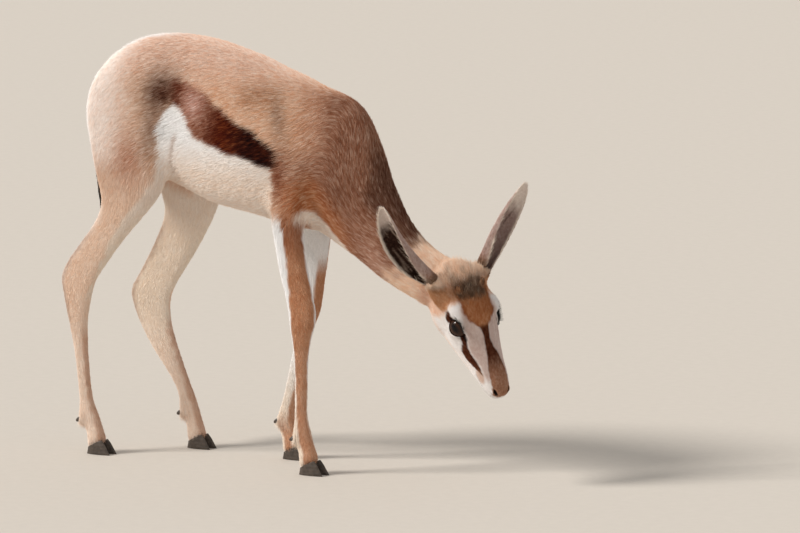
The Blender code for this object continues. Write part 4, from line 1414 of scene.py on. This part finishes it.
def lashes(side):
    place, gaze, slant, rise = eyeFrame(side)
    radius, halfLength = eyeSizes["radius"], eyeSizes["halfLength"]
    draw = np.random.default_rng(40 + side)
    hairs = []
    for k in range(lashSizes["number"]):
        x = (lashSizes["from"] + lashSizes["span"] * (k + 0.5) / lashSizes["number"]) * halfLength
        y = eyeSizes["halfHeight"] * eyeSizes["upper"] * (1 - (abs(x) / halfLength) ** 2.0) + 0.0006
        out = unit(gaze + slant * math.tan((x + eyeSizes["forward"]) / radius) + rise * math.tan(y / radius))
        root = place + out * (radius + eyeSizes["lid"]) * 0.985
        size = lashSizes["length"] * (0.55 + 0.45 * math.cos(x / halfLength * 1.3)) * draw.uniform(0.8, 1.15)
        path = []
        for i in range(lashSizes["steps"] + 1):
            t = i / lashSizes["steps"]
            aside = x * 18 * t + draw.uniform(-0.04, 0.04) * t
            bend = out * t + rise * (0.10 * t + 0.35 * t * t) + slant * aside
            path.append(root + bend * size)
        hairs.append((path, lashSizes["root"]))
    return hairs


lashItem = hairMesh("lashes", lashes(-1) + lashes(1), darkHair())

# horn buds and hooves keep their CAD nodes, with a finish and an edge of their own
hornSizes = {
    "claw": {"finish": "hoof_horn", "edge": 0.0016, "tone": (0.075, 0.058, 0.046), "ridges": 55},
    "horn": {"finish": "horn_bud", "edge": 0.0007, "tone": (0.130, 0.078, 0.046), "ridges": 120},
}


def hornMaterial(sizes):
    made, tree, shader = shaderBase(sizes["finish"], 0.4, 0.35)
    value = ranged(tree, noiseNode(tree, 160, 4), 0.3, 0.7, 0.7, 1.3)
    feed(tree, shader.inputs["Base Color"], scaled(tree, sizes["tone"], value))
    inputs = {"Vector": objectPlace(tree), "Scale": sizes["ridges"], "Distortion": 2.0}
    wave = put(tree, "ShaderNodeTexWave", inputs, wave_type="BANDS", bands_direction="Z")
    bumped(tree, shader, wave.outputs["Fac"], 0.35, 0.0006)
    return made


hornFinish = {kind: hornMaterial(sizes) for kind, sizes in hornSizes.items()}
for name in [*claws, "horn_left", "horn_right"]:
    kind = "claw" if "claw" in name else "horn"
    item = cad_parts[name]
    finished(item.data, hornFinish[kind])
    item.modifiers.new("weld", "WELD").merge_threshold = weldGap
    edge = item.modifiers.new("edge", "BEVEL")
    edge.width = hornSizes[kind]["edge"]
    edge.segments = 3
    edge.limit_method = "ANGLE"
    edge.angle_limit = math.radians(35)
print("eyes, ears, lashes, horn and hooves made")

# every new piece hangs from one root empty, and the CAD nodes that they take the place of are hidden
for item in [skinItem, *coat, *eyes, *ears, *earTufts, lashItem]:
    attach(item, "root")
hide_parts(*fleshNames)
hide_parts("eye_right")
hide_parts("eye_left")
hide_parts("ear_right")
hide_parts("ear_left")
bpy.data.objects.remove(blade)

# floor, light and camera
floorLook = {"size": 44.0, "tone": (0.66, 0.61, 0.55)}


def floorPiece(look):
    half = look["size"] / 2
    corners = [(-half, -half, 0), (half, -half, 0), (half, half, 0), (-half, half, 0)]
    data = builtMesh("floor", corners, [(0, 1, 2, 3)])
    made, tree, shader = shaderBase("pale_floor", 0.9)
    value = ranged(tree, noiseNode(tree, 60, 3), 0.3, 0.7, 0.985, 1.015)
    feed(tree, shader.inputs["Base Color"], scaled(tree, look["tone"], value))
    data.materials.append(made)
    linked("floor", data)


floorPiece(floorLook)
# one warm soft key from the upper left of the picture: towards, strength, softness in degrees, tone
keyLight = {"from": (-0.55, -0.52, 0.66), "strength": 2.6, "soft": 16, "tone": (1.0, 0.962, 0.91)}
studio = {"tone": (1.0, 0.985, 0.965, 1), "strength": 0.52}


def placeLights(key, around):
    lamp = bpy.data.lights.new("key", "SUN")
    lamp.energy = key["strength"]
    lamp.angle = math.radians(key["soft"])
    lamp.color = key["tone"]
    linked("key", lamp).rotation_euler = Vector(key["from"]).to_track_quat("Z", "Y").to_euler()
    world = bpy.data.worlds.new("studio")
    bpy.context.scene.world = world
    world.use_nodes = True
    back = world.node_tree.nodes["Background"]
    back.inputs["Color"].default_value = around["tone"]
    back.inputs["Strength"].default_value = around["strength"]
    bpy.context.scene.view_settings.view_transform = "Standard"


placeLights(keyLight, studio)
# the camera stands far off, as a long lens does; aim is a point from the head's origin, pixel is where the
# picture shows it, and scale is pixels per metre there
cameraPlace = {"turn": 33, "tilt": 7.5, "away": 11.0, "scale": 655, "aim": (-0.2588, -0.058, -0.2462),
               "pixel": (309, 474), "picture": (800, 533), "sensor": 36}


def placeCamera(sizes):
    turn, tilt = math.radians(sizes["turn"]), math.radians(sizes["tilt"])
    back = Vector((math.sin(turn) * math.cos(tilt), -math.cos(turn) * math.cos(tilt), math.sin(tilt)))
    right = Vector((math.cos(turn), math.sin(turn), 0))
    up = back.cross(right)
    dx, dy = ((at - size / 2) / sizes["scale"] for at, size in zip(sizes["pixel"], sizes["picture"]))
    aim = Vector(headOrigin) + Vector(sizes["aim"])
    camera = bpy.data.cameras.new("camera")
    camera.sensor_width = sizes["sensor"]
    camera.lens = sizes["scale"] * sizes["away"] * sizes["sensor"] / sizes["picture"][0]
    camera.clip_end = 60
    item = linked("camera", camera)
    item.location = aim + back * sizes["away"] - right * dx + up * dy
    item.rotation_euler = (-back).to_track_quat("-Z", "Y").to_euler()
    bpy.context.scene.camera = item


placeCamera(cameraPlace)
print("stage set")
